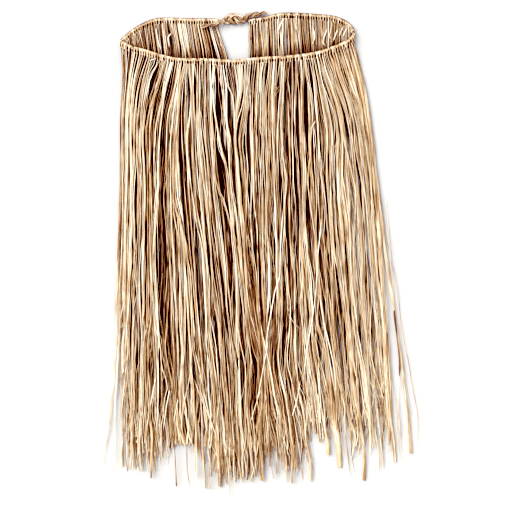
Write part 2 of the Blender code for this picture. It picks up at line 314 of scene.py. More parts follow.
# Single strands that stray across the others. Columns: width, tint, and the points that one passes.
FRONT_STRAYS = [
    (0.0018, 0.80, [(-0.1878, 0.3300), (-0.1838, 0.3306), (-0.1795, 0.3330)]),
    (0.0030, 0.65, [
        (-0.2422, 0.0263), (-0.2448, -0.0756), (-0.2465, -0.1521), (-0.2499, -0.2116), (-0.2558, -0.2712),
        (-0.2626, -0.3221), (-0.2669, -0.3579),
    ]),
    (0.0026, 0.84, [
        (-0.2405, -0.1266), (-0.2443, -0.1946), (-0.2479, -0.2541), (-0.2482, -0.3136), (-0.2465, -0.3715),
    ]),
    (0.0024, 0.50, [(-0.2388, -0.0586), (-0.2400, -0.1351), (-0.2428, -0.1980), (-0.2445, -0.2456)]),
    (0.0012, 0.60, [(0.2057, 0.1012), (0.2159, 0.0264), (0.2210, -0.0247), (0.2261, -0.0842)]),
    (0.0016, 0.70, [(0.2354, -0.1980), (0.2329, -0.2372), (0.2338, -0.2796), (0.2363, -0.3137)]),
    (0.0022, 0.86, [
        (0.1054, 0.0858), (0.1003, 0.0399), (0.0960, -0.0042), (0.0935, -0.0536), (0.0867, -0.1062),
        (0.0782, -0.1538), (0.0714, -0.2116),
    ]),
    (0.0020, 0.86, [
        (0.0943, -0.0485), (0.1003, -0.0756), (0.1062, -0.1130), (0.1156, -0.1521), (0.1241, -0.1946),
        (0.1275, -0.2456),
    ]),
    (0.0024, 0.87, [
        (0.0391, 0.0943), (0.0348, 0.0433), (0.0323, -0.0076), (0.0314, -0.0365), (0.0238, -0.0586),
        (0.0170, -0.0960), (0.0102, -0.1351), (0.0085, -0.1777),
    ]),
    (0.0042, 0.82, [(0.0119, 0.0229), (0.0136, -0.0110), (0.0136, -0.0586), (0.0102, -0.1096)]),
    (0.0020, 0.83, [
        (0.0017, -0.1266), (0.0085, -0.1606), (0.0170, -0.1980), (0.0238, -0.2422), (0.0306, -0.2830),
    ]),
    (0.0020, 0.83, [(0.0136, -0.1351), (0.0068, -0.1742), (-0.0017, -0.2201), (-0.0102, -0.2661)]),
    (0.0036, 0.02, [
        (0.2244, -0.0756), (0.2269, -0.1062), (0.2329, -0.1521), (0.2354, -0.1810), (0.2346, -0.2116),
    ]),
    (0.0007, 0.30, [
        (0.2142, 0.0944), (0.2227, -0.0110), (0.2329, -0.0586), (0.2388, -0.1504), (0.2430, -0.1946),
        (0.2533, -0.2541), (0.2567, -0.2711),
    ]),
    (0.0016, 0.85, [(0.0816, 0.2116), (0.0867, 0.2184), (0.0926, 0.2286)]),
    (0.0012, 0.62, [
        (0.0221, 0.2915), (0.0255, 0.2848), (0.0296, 0.2779), (0.0246, 0.2728), (0.0260, 0.2640),
    ]),
    (0.0012, 0.50, [(0.0323, 0.2898), (0.0272, 0.2813), (0.0229, 0.2728), (0.0238, 0.2626)]),
    (0.0009, 0.84, [(0.0485, -0.0994), (0.0527, -0.1096), (0.0595, -0.1181), (0.0672, -0.1249)]),
    (0.0016, 0.86, [(0.0977, -0.1878), (0.0994, -0.2201), (0.1020, -0.2694)]),
    (0.0022, 0.84, [(0.0663, -0.2116), (0.0612, -0.2422), (0.0510, -0.2762)]),
    (0.0016, 0.84, [(0.0017, -0.2218), (-0.0068, -0.2456), (-0.0187, -0.2848)]),
    (0.0018, 0.87, [(-0.1530, -0.2184), (-0.1589, -0.2490), (-0.1657, -0.2966)]),
    (0.0016, 0.87, [(-0.1394, -0.2388), (-0.1436, -0.2592), (-0.1487, -0.2864)]),
    (0.0022, 0.87, [(-0.1768, -0.2014), (-0.1819, -0.2252), (-0.1878, -0.2592)]),
    (0.0018, 0.70, [(-0.1139, -0.2082), (-0.1003, -0.2440), (-0.0867, -0.2745), (-0.0731, -0.3153)]),
    (0.0014, 0.66, [(-0.1054, -0.2184), (-0.0952, -0.2525), (-0.0850, -0.2864)]),
]
BACK_STRAYS = [
    (0.0024, 0.86, [(0.0408, 0.4029), (0.0357, 0.3969), (0.0314, 0.3884), (0.0272, 0.3782)]),
    (0.0024, 0.82, [(0.1122, 0.3851), (0.1079, 0.3731), (0.1054, 0.3612), (0.1113, 0.3544)]),
    (0.0022, 0.75, [(0.1207, 0.3918), (0.1181, 0.3816), (0.1164, 0.3715), (0.1215, 0.3663)]),
    (0.0024, 0.82, [(0.1309, 0.3851), (0.1258, 0.3731), (0.1224, 0.3629)]),
    (0.0024, 0.65, [(0.1394, 0.3893), (0.1351, 0.3782), (0.1318, 0.3697)]),
    (0.0022, 0.85, [(0.1462, 0.3867), (0.1419, 0.3782), (0.1377, 0.3697)]),
    (0.0028, 0.84, [(-0.1505, 0.3782), (-0.1564, 0.3723), (-0.1573, 0.3663), (-0.1547, 0.3528)]),
    (0.0018, 0.87, [(-0.1785, 0.3884), (-0.1751, 0.3663), (-0.1683, 0.3459)]),
    (0.0020, 0.85, [(0.0884, 0.3867), (0.0909, 0.3697), (0.0850, 0.3544)]),
    (0.0022, 0.62, [(0.0612, 0.3935), (0.0595, 0.3697), (0.0629, 0.3493)]),
]
# Loose ends that lie over the knot. Columns as above.
KNOT_WRAPS = [
    (0.0020, 0.55, [
        (-0.0620, 0.3978), (-0.0578, 0.4058), (-0.0527, 0.4095), (-0.0459, 0.4082), (-0.0391, 0.4029),
        (-0.0340, 0.3969),
    ]),
    (0.0018, 0.80, [
        (-0.0578, 0.3961), (-0.0510, 0.4041), (-0.0425, 0.4075), (-0.0340, 0.4054), (-0.0272, 0.4003),
    ]),
    (0.0016, 0.30, [(-0.0544, 0.4085), (-0.0476, 0.4102), (-0.0399, 0.4088), (-0.0340, 0.4063)]),
    (0.0014, 0.15, [(-0.0502, 0.4092), (-0.0459, 0.4054), (-0.0399, 0.4027)]),
]

WAIST_Y = 0.414
HEM_Y = -0.412
SURFACE_GAP = 0.0003  # under what rests on the surface
ROUND = 8  # sides of a round ply
RIBBON_POINTS = 4  # across the upper side of a ribbon
ANY_TURN = 6.3  # radians, the most that a random turn can be
ANY_PLACE = 3.0  # how far along the fibres' texture a strand can start
MOST_DROP = 0.86  # more than any strand's
LANES_BEYOND = 0.03  # how far past a fringe's outer strands its lanes are worked out


# ---------------------------------------------------------------- sizes and colours a user would change


class GrassSkirtSizes(bpy.types.PropertyGroup):
    hitch_pitch: bpy.props.FloatProperty(
        name="Hitch pitch",
        description="The distance along the waist cord from one hitch to the next",
        default=0.0045,
        min=0.003,
        max=0.012,
        unit="LENGTH",
    )
    strands_per_hitch: bpy.props.IntProperty(
        name="Strands a hitch", description="Strands that hang from one hitch", default=8, min=3, max=10
    )
    strand_width: bpy.props.FloatProperty(
        name="Strand width",
        description="The width of a strand laid out flat",
        default=0.0029,
        min=0.002,
        max=0.012,
        unit="LENGTH",
    )
    strand_thickness: bpy.props.FloatProperty(
        name="Strand thickness",
        description="The thickness of one raffia ribbon",
        default=0.00035,
        min=0.0002,
        max=0.001,
        unit="LENGTH",
    )


class GrassSkirtColours(bpy.types.PropertyGroup):
    pale: bpy.props.FloatVectorProperty(
        name="Pale raffia",
        description="The palest strands",
        subtype="COLOR",
        default=(0.865, 0.815, 0.695),
        min=0.0,
        max=1.0,
    )
    tan: bpy.props.FloatVectorProperty(
        name="Tan raffia",
        description="The usual strands",
        subtype="COLOR",
        default=(0.525, 0.372, 0.220),
        min=0.0,
        max=1.0,
    )
    brown: bpy.props.FloatVectorProperty(
        name="Brown raffia",
        description="The darkest strands and the dry tips",
        subtype="COLOR",
        default=(0.135, 0.072, 0.040),
        min=0.0,
        max=1.0,
    )
    golden: bpy.props.FloatVectorProperty(
        name="Golden stain",
        description="What the strands' colour is multiplied by where they are most golden, as at the tips",
        subtype="COLOR",
        default=(1.0, 0.90, 0.66),
        min=0.0,
        max=1.0,
    )
    floor: bpy.props.FloatVectorProperty(
        name="Floor",
        description="The surface that the skirt lies on",
        subtype="COLOR",
        default=(0.568, 0.560, 0.550),
        min=0.0,
        max=1.0,
    )


# ---------------------------------------------------------------- lines


class Line:
    """A smooth line through the points of a route, measured along its length."""

    def __init__(self, route, per_stretch=12):
        knots = [Vector(p) for p in route]
        before = [2 * knots[0] - knots[1]] + knots[:-1]
        after = knots[1:] + [2 * knots[-1] - knots[-2]]
        handles = [(b - a) / 6 for a, b in zip(before, after)]
        points = []
        for i in range(len(knots) - 1):
            stretch = (knots[i], knots[i] + handles[i], knots[i + 1] - handles[i + 1], knots[i + 1])
            points += interpolate_bezier(*stretch, per_stretch + 1)[:-1]
        self.points = np.array(points + [knots[-1]])
        steps = np.linalg.norm(np.diff(self.points, axis=0), axis=1)
        self.measured = np.concatenate([[0.0], np.cumsum(steps)])
        self.length = float(self.measured[-1])

    def at(self, distance):
        return np.stack([np.interp(distance, self.measured, self.points[:, k]) for k in range(3)], -1)

    def along(self, distance):
        step = 0.002
        ahead = self.at(np.minimum(np.asarray(distance) + step, self.length))
        return unit(ahead - self.at(np.maximum(np.asarray(distance) - step, 0.0)))


def add_object(name, data):
    made = bpy.data.objects.new(name, data)
    bpy.context.scene.collection.objects.link(made)
    return made


def unit(vectors):
    return vectors / np.maximum(np.linalg.norm(vectors, axis=-1, keepdims=True), 1e-12)


def ease(share):
    """From 0 to 1, slow at both ends."""
    share = np.clip(share, 0.0, 1.0)
    return share * share * (3.0 - 2.0 * share)


def fade(distance, reach):
    """From 1 where the distance is 0 to 0 where it is as far as the reach."""
    return ease(1.0 - distance / reach)


def beside(along):
    """The level direction to the right of the way along, and the direction over both."""
    side = unit(np.cross(along, (0.0, 0.0, 1.0)))
    return side, np.cross(side, along)


def frames_along(paths):
    """The side and the upper direction at each ring of ribbons along paths of (path, ring, 3)."""
    along = np.empty_like(paths)
    along[:, 1:-1] = paths[:, 2:] - paths[:, :-2]
    along[:, 0] = paths[:, 1] - paths[:, 0]
    along[:, -1] = paths[:, -1] - paths[:, -2]
    return beside(unit(along))


# ---------------------------------------------------------------- swept meshes

# The third attribute is dryness at strand tips, and painted shade on the hitches' loops.
ATTRIBUTES = ("tint", "seed", "dryness", "golden")  # what each vertex of a strand carries
SHARP_FROM = 50.0  # degrees between two faces


def sweep(name, centres, side, upper, section, uv_along, shades):
    """One object out of many closed strands.

    centres, side and upper are (strand, ring, 3), section is (strand, ring, corner, 2) across and up,
    and shades is (strand, ring, attribute). Corners run along the upper side and back along the lower.
    """
    strands, rings, corners = section.shape[:3]
    across, up = section[..., :1], section[..., 1:]
    places = centres[:, :, None] + across * side[:, :, None] + up * upper[:, :, None]
    places[..., 2] = np.maximum(places[..., 2], SURFACE_GAP)
    ring = np.arange(rings - 1)[:, None] * corners
    corner = np.arange(corners)[None, :]
    following = (corner + 1) % corners
    walls = [ring + corner, ring + corners + corner, ring + corners + following, ring + following]
    walls = np.stack(walls, -1)
    low = np.arange(corners // 2 - 1)
    start = np.stack([low, low + 1, corners - 2 - low, corners - 1 - low], -1)
    end = start[:, ::-1] + (rings - 1) * corners
    one = np.concatenate([walls.reshape(-1, 4), start, end])
    faces = (np.arange(strands)[:, None, None] * rings * corners + one).reshape(-1, 4)

    mesh = bpy.data.meshes.new(name)
    mesh.vertices.add(places.size // 3)
    mesh.vertices.foreach_set("co", places.astype(np.float32).ravel())
    mesh.loops.add(faces.size)
    mesh.loops.foreach_set("vertex_index", faces.astype(np.int32).ravel())
    mesh.polygons.add(len(faces))
    mesh.polygons.foreach_set("loop_start", np.arange(0, faces.size, 4, dtype=np.int32))
    uv_across = np.abs(2.0 * np.arange(corners) / corners - 1.0)
    uv = np.stack(np.broadcast_arrays(uv_across, uv_along[..., None]), -1).reshape(-1, 2)
    layer = mesh.uv_layers.new(name="UVMap")
    layer.uv.foreach_set("vector", uv[faces.ravel()].astype(np.float32).ravel())
    for channel, attribute in enumerate(ATTRIBUTES):
        values = np.repeat(shades[..., channel], corners, axis=1).astype(np.float32).ravel()
        mesh.attributes.new(attribute, "FLOAT", "POINT").data.foreach_set("value", values)
    mesh.update(calc_edges=True)
    mesh.validate()
    mesh.shade_smooth()
    mesh.set_sharp_from_angle(angle=math.radians(SHARP_FROM))
    return add_object(name, mesh)


def attributes(rings, tint, seed, dryness=0.0, golden=0.0):
    """What strands carry at each of their rings, in the order of ATTRIBUTES."""
    values = [np.broadcast_to(value, (len(seed), rings)) for value in (tint, seed, dryness, golden)]
    return np.stack(values, -1)


def ribbon_section(width, curl, fold, roll, thickness):
    """The outline of a ribbon that is curled and folded along its length and rolled about it.

    Width, curl, fold and roll are (strand, ring), the last three in radians.
    """
    least = 0.02
    u = np.linspace(-1.0, 1.0, RIBBON_POINTS)
    curl = np.where(np.abs(curl) < least, least, curl)[..., None]
    turn = curl * u
    x, h = np.sin(turn) / curl, (np.cos(turn) - 1.0) / curl
    bend = fold[..., None] * np.sign(u)
    x, h = x * np.cos(bend) + h * np.sin(bend), h * np.cos(bend) - x * np.sin(bend)
    h = h - h.mean(-1, keepdims=True)
    facing = roll[..., None] - turn - bend
    c, s = np.cos(roll)[..., None], np.sin(roll)[..., None]
    half = 0.5 * width[..., None]
    upper = np.stack([half * (x * c - h * s), half * (x * s + h * c)], -1)
    normal = np.stack([-np.sin(facing), np.cos(facing)], -1)
    lower = upper - thickness * normal
    return np.concatenate([upper, lower[..., ::-1, :]], axis=-2)


def round_section(radius, strands, rings):
    angle = np.pi - (np.arange(ROUND) + 0.5) * 2.0 * np.pi / ROUND
    one = radius * np.stack([np.cos(angle), np.sin(angle)], -1)
    return np.broadcast_to(one, (strands, rings, ROUND, 2))


# ---------------------------------------------------------------- how a fringe lies


class Leaders:
    """Where strands lead: x for any lane and drop, from smooth curves through the leading strands."""

    def __init__(self, rows, drops):
        rows, drops = np.array(rows), np.array(drops)
        self.lanes = np.linspace(rows[0, 0] - LANES_BEYOND, rows[-1, 0] + LANES_BEYOND, 260)
        self.drops = np.linspace(0.0, MOST_DROP, 180)
        slopes = np.gradient(rows, drops, axis=1)
        at = np.clip(np.searchsorted(drops, self.drops, side="right") - 1, 0, len(drops) - 2)
        span = drops[at + 1] - drops[at]
        s = (self.drops - drops[at]) / span
        beyond = s > 1.0
        t = np.minimum(s, 1.0)
        curve = (
            rows[:, at] * (2 * t**3 - 3 * t**2 + 1)
            + rows[:, at + 1] * (3 * t**2 - 2 * t**3)
            + slopes[:, at] * span * (t**3 - 2 * t**2 + t)
            + slopes[:, at + 1] * span * (t**3 - t**2)
        )
        curve = curve + np.where(beyond, (s - 1.0) * span * slopes[:, at + 1], 0.0)
        inside = np.stack([np.interp(self.lanes, rows[:, 0], column) for column in curve.T], 1)
        self.ends = (rows[0, 0], rows[-1, 0])
        past = self.lanes - np.clip(self.lanes, *self.ends)
        self.x = inside + past[:, None]

    def at(self, lanes, drops):
        lane_step = self.lanes[1] - self.lanes[0]
        a = np.clip((lanes - self.lanes[0]) / lane_step, 0, len(self.lanes) - 1.001)
        b = np.clip(drops / self.drops[1], 0, len(self.drops) - 1.001)
        i, j = a.astype(int), b.astype(int)
        a, b = a - i, b - j
        near = self.x[i, j] * (1 - b) + self.x[i, j + 1] * b
        far = self.x[i + 1, j] * (1 - b) + self.x[i + 1, j + 1] * b
        return near * (1 - a) + far * a

    def edges(self, drops):
        """x of the fringe's left and right side edge."""
        return [self.at(np.full_like(drops, end), drops) for end in self.ends]

    def lane_for(self, x, drop):
        """The lane that leads to x at a drop."""
        return float(np.interp(x, self.at(self.lanes, np.full_like(self.lanes, drop)), self.lanes))


class Bundles:
    """Strands gather into bundles with air between them, and the bundles change on the way down."""

    def __init__(self, low, high, chance, stations, widths, squeeze, push):
        self.stations = stations
        self.sets = []
        for _ in stations:
            cells = [low - LANES_BEYOND]
            while cells[-1] < high + LANES_BEYOND:
                cells.append(cells[-1] + chance.uniform(*widths))
            cells = np.array(cells)
            tight = chance.uniform(*squeeze, len(cells))
            self.sets.append((cells, tight, chance.normal(0.0, push, len(cells))))
        # Bundles change sooner in some lanes than in others.
        self.marks = np.arange(low - LANES_BEYOND, high + LANES_BEYOND, 0.011)
        self.shifts = chance.uniform(-0.5, 0.5, len(self.marks))

    def at(self, lanes, drops):
        steps = np.interp(drops, self.stations, np.arange(len(self.stations)))
        shift = np.interp(lanes, self.marks, self.shifts) * np.clip(steps, 0.0, 1.0)
        where = np.clip(steps + shift, 0.0, len(self.stations) - 1)
        total = np.zeros(np.broadcast(lanes, drops).shape)
        for station, (cells, tight, aside) in enumerate(self.sets):
            cell = np.clip(np.searchsorted(cells, lanes) - 1, 0, len(cells) - 2)
            middle = (cells[cell] + cells[cell + 1]) / 2
            gathered = middle + aside[cell] + (lanes - middle) * tight[cell] if station else lanes
            total += np.clip(1.0 - np.abs(where - station), 0.0, 1.0) * gathered
        return total


class Gather:
    """The bundles of the lower levels and those of the upper ones, which part in other places."""

    STATIONS = (0.0, 0.05, 0.13, 0.23, 0.35, 0.48, 0.61, 0.75)

    def __init__(self, low, high, chance, lie, squeeze):
        self.lie = lie
        self.lower = Bundles(low, high, chance, self.STATIONS, (0.006, 0.013), squeeze, 0.0012)
        self.upper = Bundles(low, high, chance, self.STATIONS, (0.007, 0.016), squeeze, 0.0024)

    def at(self, lanes, drops, levels):
        lower, upper = self.lower.at(lanes, drops), self.upper.at(lanes, drops)
        return np.where(self.lie.is_inner(levels), lower, upper)


def hem_at(x):
    """y where the longest of most strands end, and how much shorter others can be."""
    columns = np.array(HEM).T
    return np.interp(x, columns[0], columns[1]), np.interp(x, columns[0], columns[2])


def waist_share(y):
    return np.clip((y - HEM_Y) / (WAIST_Y - HEM_Y), 0.0, 1.0)


class Lie:
    """What differs between the front's strands and the back's: their heights, levels and painted shade.

    Each height is given at the hem and at the waist. The upper levels lie loosely on the lower ones, with
    air between them.
    """

    def __init__(self, bottom, levels, upper, step=(0, 0), air=(0, 0), rounded=0.0, shaded=(0, 0), pulls=()):
        self.bottom = bottom
        self.levels = levels
        self.upper = upper  # the lowest of the upper levels
        self.step = step  # from one level to the next
        self.air = air
        self.rounded = rounded  # how much lower the side edges lie, as a share. Only the front's do.
        self.shaded = shaded  # how much painted shade darkens strands inside the waist, and in a line beside its front cord
        self.pulls = pulls

    def is_inner(self, level):
        """Whether strands are in the lower levels, which the upper ones cover."""
        return level < self.upper - 0.5

    def height(self, level, y):
        share = waist_share(y)
        pairs = (self.bottom, self.step, self.air)
        bottom, step, air = (hem + share * (waist - hem) for hem, waist in pairs)
        return bottom + level * step + np.where(self.is_inner(level), 0.0, air)


FRONT_LIE = Lie(
    bottom=(0.0040, 0.0080),
    levels=8,
    upper=4,
    step=(0.0007, 0.0009),
    air=(0.0030, 0.0040),
    rounded=0.55,
    pulls=PULLS,
)
BACK_LIE = Lie(
    bottom=(0.0006, 0.0008),
    levels=6,
    upper=3,
    step=(0.0005, 0.0006),
    air=(0.0016, 0.0028),
    shaded=(0.10, 0.40),
)
KNOT_LIE = Lie(bottom=(0.0104, 0.0104), levels=0, upper=1)
NECK = 0.0072  # from the waist cord's middle to where strands leave the hitch's neck
NECK_WIDTH = 0.00162  # of a strand, where its hitch holds it
EDGE_SOFTNESS = 0.0016  # over how much of the fringe's side edges the strands are held back
EDGE_REACH = 0.035  # how far in from a side edge a rounded fringe has its whole height
HEM_DROP = 0.72  # where a strand's x says which part of the hem it belongs to
CUT_STRAIGHT = 0.02  # where the hem is less ragged than this, it was cut
BROAD = 0.0045  # strands given one by one that are wider than this lie lower
NEEDLE = 0.003  # and those narrower than this are pointed
LONG_KINKS = (0.0040, 0.130)  # how far aside they go, and how far apart they are
SHORT_KINKS = (0.0009, 0.034)
TIP_KINKS = (0.0036, 0.045)
# What chance gives each strand: the least and the most, or a mean and a spread for tints and rolls.
LANE_SHIFT = 0.001
LEVEL_SHIFT = 0.35
THIN_SHARE = 0.45
THIN_WIDTHS = (0.0010, 0.0022)
WIDE_WIDTHS = (0.65, 1.40)  # in shares of the strand width
# The inner strands' dark tint is painted shade, where the upper ones cover them; their tips come out paler.
INNER_SHADE_TINTS = (0.06, 0.12)
UPPER_TINTS = (0.46, 0.25)
POINTED_SHARE = 0.35
THIN_LOOSE = (0.5, 1.4)
WIDE_LOOSE = (0.15, 0.7)
SINK = (0.25, 0.8)  # the share of its height that a lone strand loses
WIDENING = (0.022, 0.090)  # the drop by which it has its whole width
POINT_LENGTHS = (0.015, 0.07)
CURLS = (0.8, 2.1)  # radians, as are folds and rolls
FOLDED_SHARE = 0.45
FOLDS = (0.25, 0.95)
ROLLS = (0.0, 0.40)
HALF_TURNS = 2  # at most, in one strand
HALF_TURN_SHARE = 0.22
HALF_TURN_DROPS = (0.06, 0.62)
HALF_TURN_LENGTHS = (0.04, 0.12)
DRY_TIPS = (-0.5, 0.7)
GOLDENS = (0.0, 0.26)
# Waves along a strand: how large, and how long.
HEAVE = (0.0005, 0.19)
WIDTH_WAVE = (0.25, 0.31)
CURL_WAVE = (0.35, 0.23)
FOLD_WAVE = (0.25, 0.40)
ROLL_WAVE = (0.30, 0.33)
# How tints change on the way down.
INNER_TIP_PALER = 0.46
TIP_PALER = 0.05
INNER_WAIST_SHADE = 0.6  # painted shade on the inner strands just below the waist cord, where the fringe is rounded
UPPER_WAIST_PALER = 0.14
CALM_TINTS = (0.74, 0.54)  # what inner and upper tints even out to, on the right and at the tips


def kinks(chance, drop, size, spacing):
    """A sideways wander in straight stretches, as raffia keeps the bends that it was folded with."""
    count = len(drop)
    stations = int(MOST_DROP / spacing) + 2
    at = (np.arange(stations) + chance.uniform(-0.35, 0.35, (count, stations))) * spacing
    at[:, 0] = 0.0
    off = chance.normal(0.0, 1.0, (count, stations)) * size
    return np.stack([np.interp(drop[k], at[k], off[k]) for k in range(count)])


def waves(chance, distance, size, length):
    """A sine along each strand, with its own start."""
    return size * np.sin(2 * np.pi * distance / length + chance.uniform(0, ANY_TURN, (len(distance), 1)))


def below_cord(line, places):
    """The way that strands leave the cord: square to it, but more downwards where the waist turns."""
    below = np.cross(line.along(places), (0.0, 0.0, 1.0))
    return unit(below * (0.30, 1.0, 1.0) + (0.0, -0.6, 0.0))


class Strands:
    """The numbers that place and shape many strands, one row for each.

    Root is the hitch's place on the cord, below is the way that a strand leaves the cord, offset is how
    far beside its hitch it starts, and loose is how much it wanders by itself and not with its bundle.
    """

    COLUMNS = (
        "root", "below", "offset", "lane", "level", "width", "tint", "paler", "paler_tip",
        "tip_x", "tip_y", "pointed", "loose",
    )

    def __init__(self, line, leaders, lie, chance, sizes, hitches):
        self.lie = lie
        self.leaders = leaders
        self.chance = chance
        self.thickness = sizes.strand_thickness
        per, pitch = sizes.strands_per_hitch, sizes.hitch_pitch
        n = self.count = len(hitches) * per
        self.root = np.repeat(line.at(hitches), per, axis=0)
        self.below = np.repeat(below_cord(line, hitches), per, axis=0)
        order = np.tile(np.arange(per), len(hitches))
        self.offset = (order - (per - 1) / 2) * 0.7 * pitch / per
        self.lane = self.root[:, 0] + (order - (per - 1) / 2) * pitch / per
        self.lane += chance.uniform(-LANE_SHIFT, LANE_SHIFT, n)
        self.level = chance.permutation(n) % lie.levels + chance.uniform(-LEVEL_SHIFT, LEVEL_SHIFT, n)
        inner = lie.is_inner(self.level)
        thin = chance.random(n) < THIN_SHARE
        wide = sizes.strand_width * chance.uniform(*WIDE_WIDTHS, n)
        self.width = np.where(thin, chance.uniform(*THIN_WIDTHS, n), 0.92 * wide)
        self.width = np.where(inner, (1.0 + 0.3 * lie.rounded) * wide, self.width)
        # The inner strands are painted dark brown, as shade under the upper ones.
        inner_shade_tint = chance.normal(*INNER_SHADE_TINTS, n)
        upper_tint = chance.normal(UPPER_TINTS[0] + 0.2 * lie.rounded, UPPER_TINTS[1], n)
        self.tint = np.clip(np.where(inner, inner_shade_tint, upper_tint), 0.0, 1.0)
        self.paler = np.zeros(n)  # how much is added to the tint at the waist
        self.paler_tip = np.zeros(n)  # and at the hem
        hem, ragged = hem_at(leaders.at(self.lane, np.full(n, HEM_DROP)))
        self.tip_x = np.full(n, np.nan)  # only a strand that is given one by one has its own
        self.tip_y = hem + ragged * chance.random(n)
        cut = (ragged < CUT_STRAIGHT) & ~inner
        self.tint = np.where(cut, self.tint + 0.05, self.tint)
        self.pointed = (chance.random(n) < POINTED_SHARE) & (ragged > CUT_STRAIGHT)
        self.loose = np.where(thin, chance.uniform(*THIN_LOOSE, n), chance.uniform(*WIDE_LOOSE, n))

    def add_long(self, rows, line, hitches):
        """Strands whose tips are given one by one. They lie high, so that they show."""
        tip_x, tip_y, width, tint = np.array(rows).T
        roots = line.at(hitches)
        lanes = np.array([self.leaders.lane_for(x, HEM_DROP) for x in tip_x])
        held = np.clip(lanes, roots[:, 0].min(), roots[:, 0].max())
        lanes = held + np.sign(held - lanes) * self.chance.uniform(0.0, 0.012, len(rows))
        nearest = np.abs(roots[None, :, 0] - lanes[:, None]).argmin(1)
        none = np.zeros(len(rows))
        top = self.lie.levels - 1
        low = np.where(width > BROAD, self.lie.upper - 0.4, top - 4)
        added = {
            "root": roots[nearest],
            "below": below_cord(line, hitches[nearest]),
            "offset": none,
            "lane": lanes,
            "level": self.chance.uniform(low, np.where(width > BROAD, low + 0.6, top + 0.3)),
            "width": width * 1.25,  # because its curl makes a strand look narrower
            "tint": tint,
            "paler": none,
            "paler_tip": none,
            "tip_x": tip_x,
            "tip_y": tip_y,
            "pointed": width < NEEDLE,
            "loose": none + 0.25,
        }
        for name, values in added.items():
            setattr(self, name, np.concatenate([getattr(self, name), values]))
        self.count += len(rows)

    def pick(self, chosen):
        """The same numbers for some of the strands only."""
        part = object.__new__(Strands)
        part.__dict__.update(self.__dict__)
        for name in self.COLUMNS:
            setattr(part, name, getattr(self, name)[chosen])
        part.count = int(np.count_nonzero(chosen))
        return part

    def each(self, low, high):
        """A random number for each strand, as a column."""
        return self.chance.uniform(low, high, (self.count, 1))

    def some(self, share):
        """Picks out a share of the strands, as a column."""
        return self.chance.random((self.count, 1)) < share

    def mesh(self, name, rings, bundles, level_waves):
        """The strands as one object."""
        self.given = ~np.isnan(self.tip_x)[:, None]
        self.inner = self.lie.is_inner(self.level)[:, None]
        neck = self.root + NECK * self.below
        share = np.linspace(0.0, 1.0, rings)[None, :] ** 1.08
        length = (neck[:, 1] - self.tip_y)[:, None]
        drop = length * share
        to_tip = length - drop
        y = neck[:, 1:2] - drop
        x = self.sideways(neck[:, 0], share, drop, to_tip, bundles, level_waves)
        x, edge = self.held_in(self.pulled(x, y), drop)
        cut = hem_at(x[:, -1:])[1] < CUT_STRAIGHT
        centres = np.stack([x, y, self.heights(x, y, drop, edge, cut)], -1)
        side, upper = frames_along(centres)
        section = self.section(drop, to_tip, cut)
        shades = self.shades(x, y, drop, to_tip)
        along = drop + self.each(0.0, ANY_PLACE)
        return sweep(name, centres, side, upper, section, along, shades)

    def sideways(self, neck_x, share, drop, to_tip, bundles, level_waves):
        """x on the way down: bundles, then waves that a level's strands share, then each one's kinks."""
        chance = self.chance
        lane, level, loose = (values[:, None] for values in (self.lane, self.level, self.loose))
        follow = np.where(self.given, 0.0, np.clip(1.2 - loose, 0.0, 1.0))
        moved = lane + (bundles.at(lane, drop, level) - lane) * follow
        grown = ease(drop / 0.25) * np.where(self.given, 0.0, 1.0)
        for size, along, down, turn in level_waves:
            moved = moved + grown * size * np.sin(along * lane + down * drop + turn * np.round(level))
        x = self.leaders.at(moved, drop)
        x = x + loose * np.clip(drop / 0.35, 0.0, 1.7) * kinks(chance, drop, *LONG_KINKS)
        x = x + (0.4 + loose) * ease(drop / 0.06) * kinks(chance, drop, *SHORT_KINKS)
        x = x + (0.5 + loose) * fade(to_tip, 0.16) * kinks(chance, drop, *TIP_KINKS)
        aim = np.where(self.given, np.nan_to_num(self.tip_x)[:, None] - x[:, -1:], 0.0)
        x = x + aim * ease((share - 0.2) / 0.8)
        start = np.where(self.inner[:, 0], self.lane + NECK * self.below[:, 0], neck_x + self.offset)
        return x + (start - x[:, 0])[:, None] * (1.0 - ease(drop / 0.07))

    def pulled(self, x, y):
        """x where strands draw together or part. The inner ones part less."""
        for middle, height, reach, tall, pull in self.lie.pulls:
            aside = x - middle
            felt = np.exp(-((aside / reach) ** 2) - ((y - height) / tall) ** 2)
            x = x - pull * np.where(self.inner & (pull < 0), 0.6, 1.0) * aside * felt
        return x

    def held_in(self, x, drop):
        """x inside the fringe's side edges, and a share from 0 at those edges to 1 well inside them."""
        low, high = self.leaders.edges(drop)
        inward = 0.010 * self.chance.random((self.count, 1)) ** 2
        free = 0.4 * self.width[:, None] + inward * ease(drop / 0.04) - np.where(self.given, 0.05, 0.0)
        x = low + free + EDGE_SOFTNESS * np.logaddexp(0.0, (x - low - free) / EDGE_SOFTNESS)
        x = high - free - EDGE_SOFTNESS * np.logaddexp(0.0, (high - free - x) / EDGE_SOFTNESS)
        return x, ease(np.minimum(x - low, high - x) / EDGE_REACH)

    def heights(self, x, y, drop, edge, cut):
        """z from the neck to the strand's own level, with a small heave, and down where it is alone."""
        level, root = self.level[:, None], self.root[:, 2:]
        z = self.lie.height(level, y) * (1.0 - self.lie.rounded * (1.0 - edge))
        z = z + waves(self.chance, drop, *HEAVE)
        start = root + np.where(self.inner, -0.30 * root, 0.0004 * (level - self.lie.upper))
        z = start + ease(drop / 0.05) * (z - start)
        alone = np.where(cut, 0.0, ease((hem_at(x[:, -1:])[0] + 0.05 - y) / 0.09))
        return z * (1.0 - alone * self.each(*SINK)) + 2 * SURFACE_GAP * alone

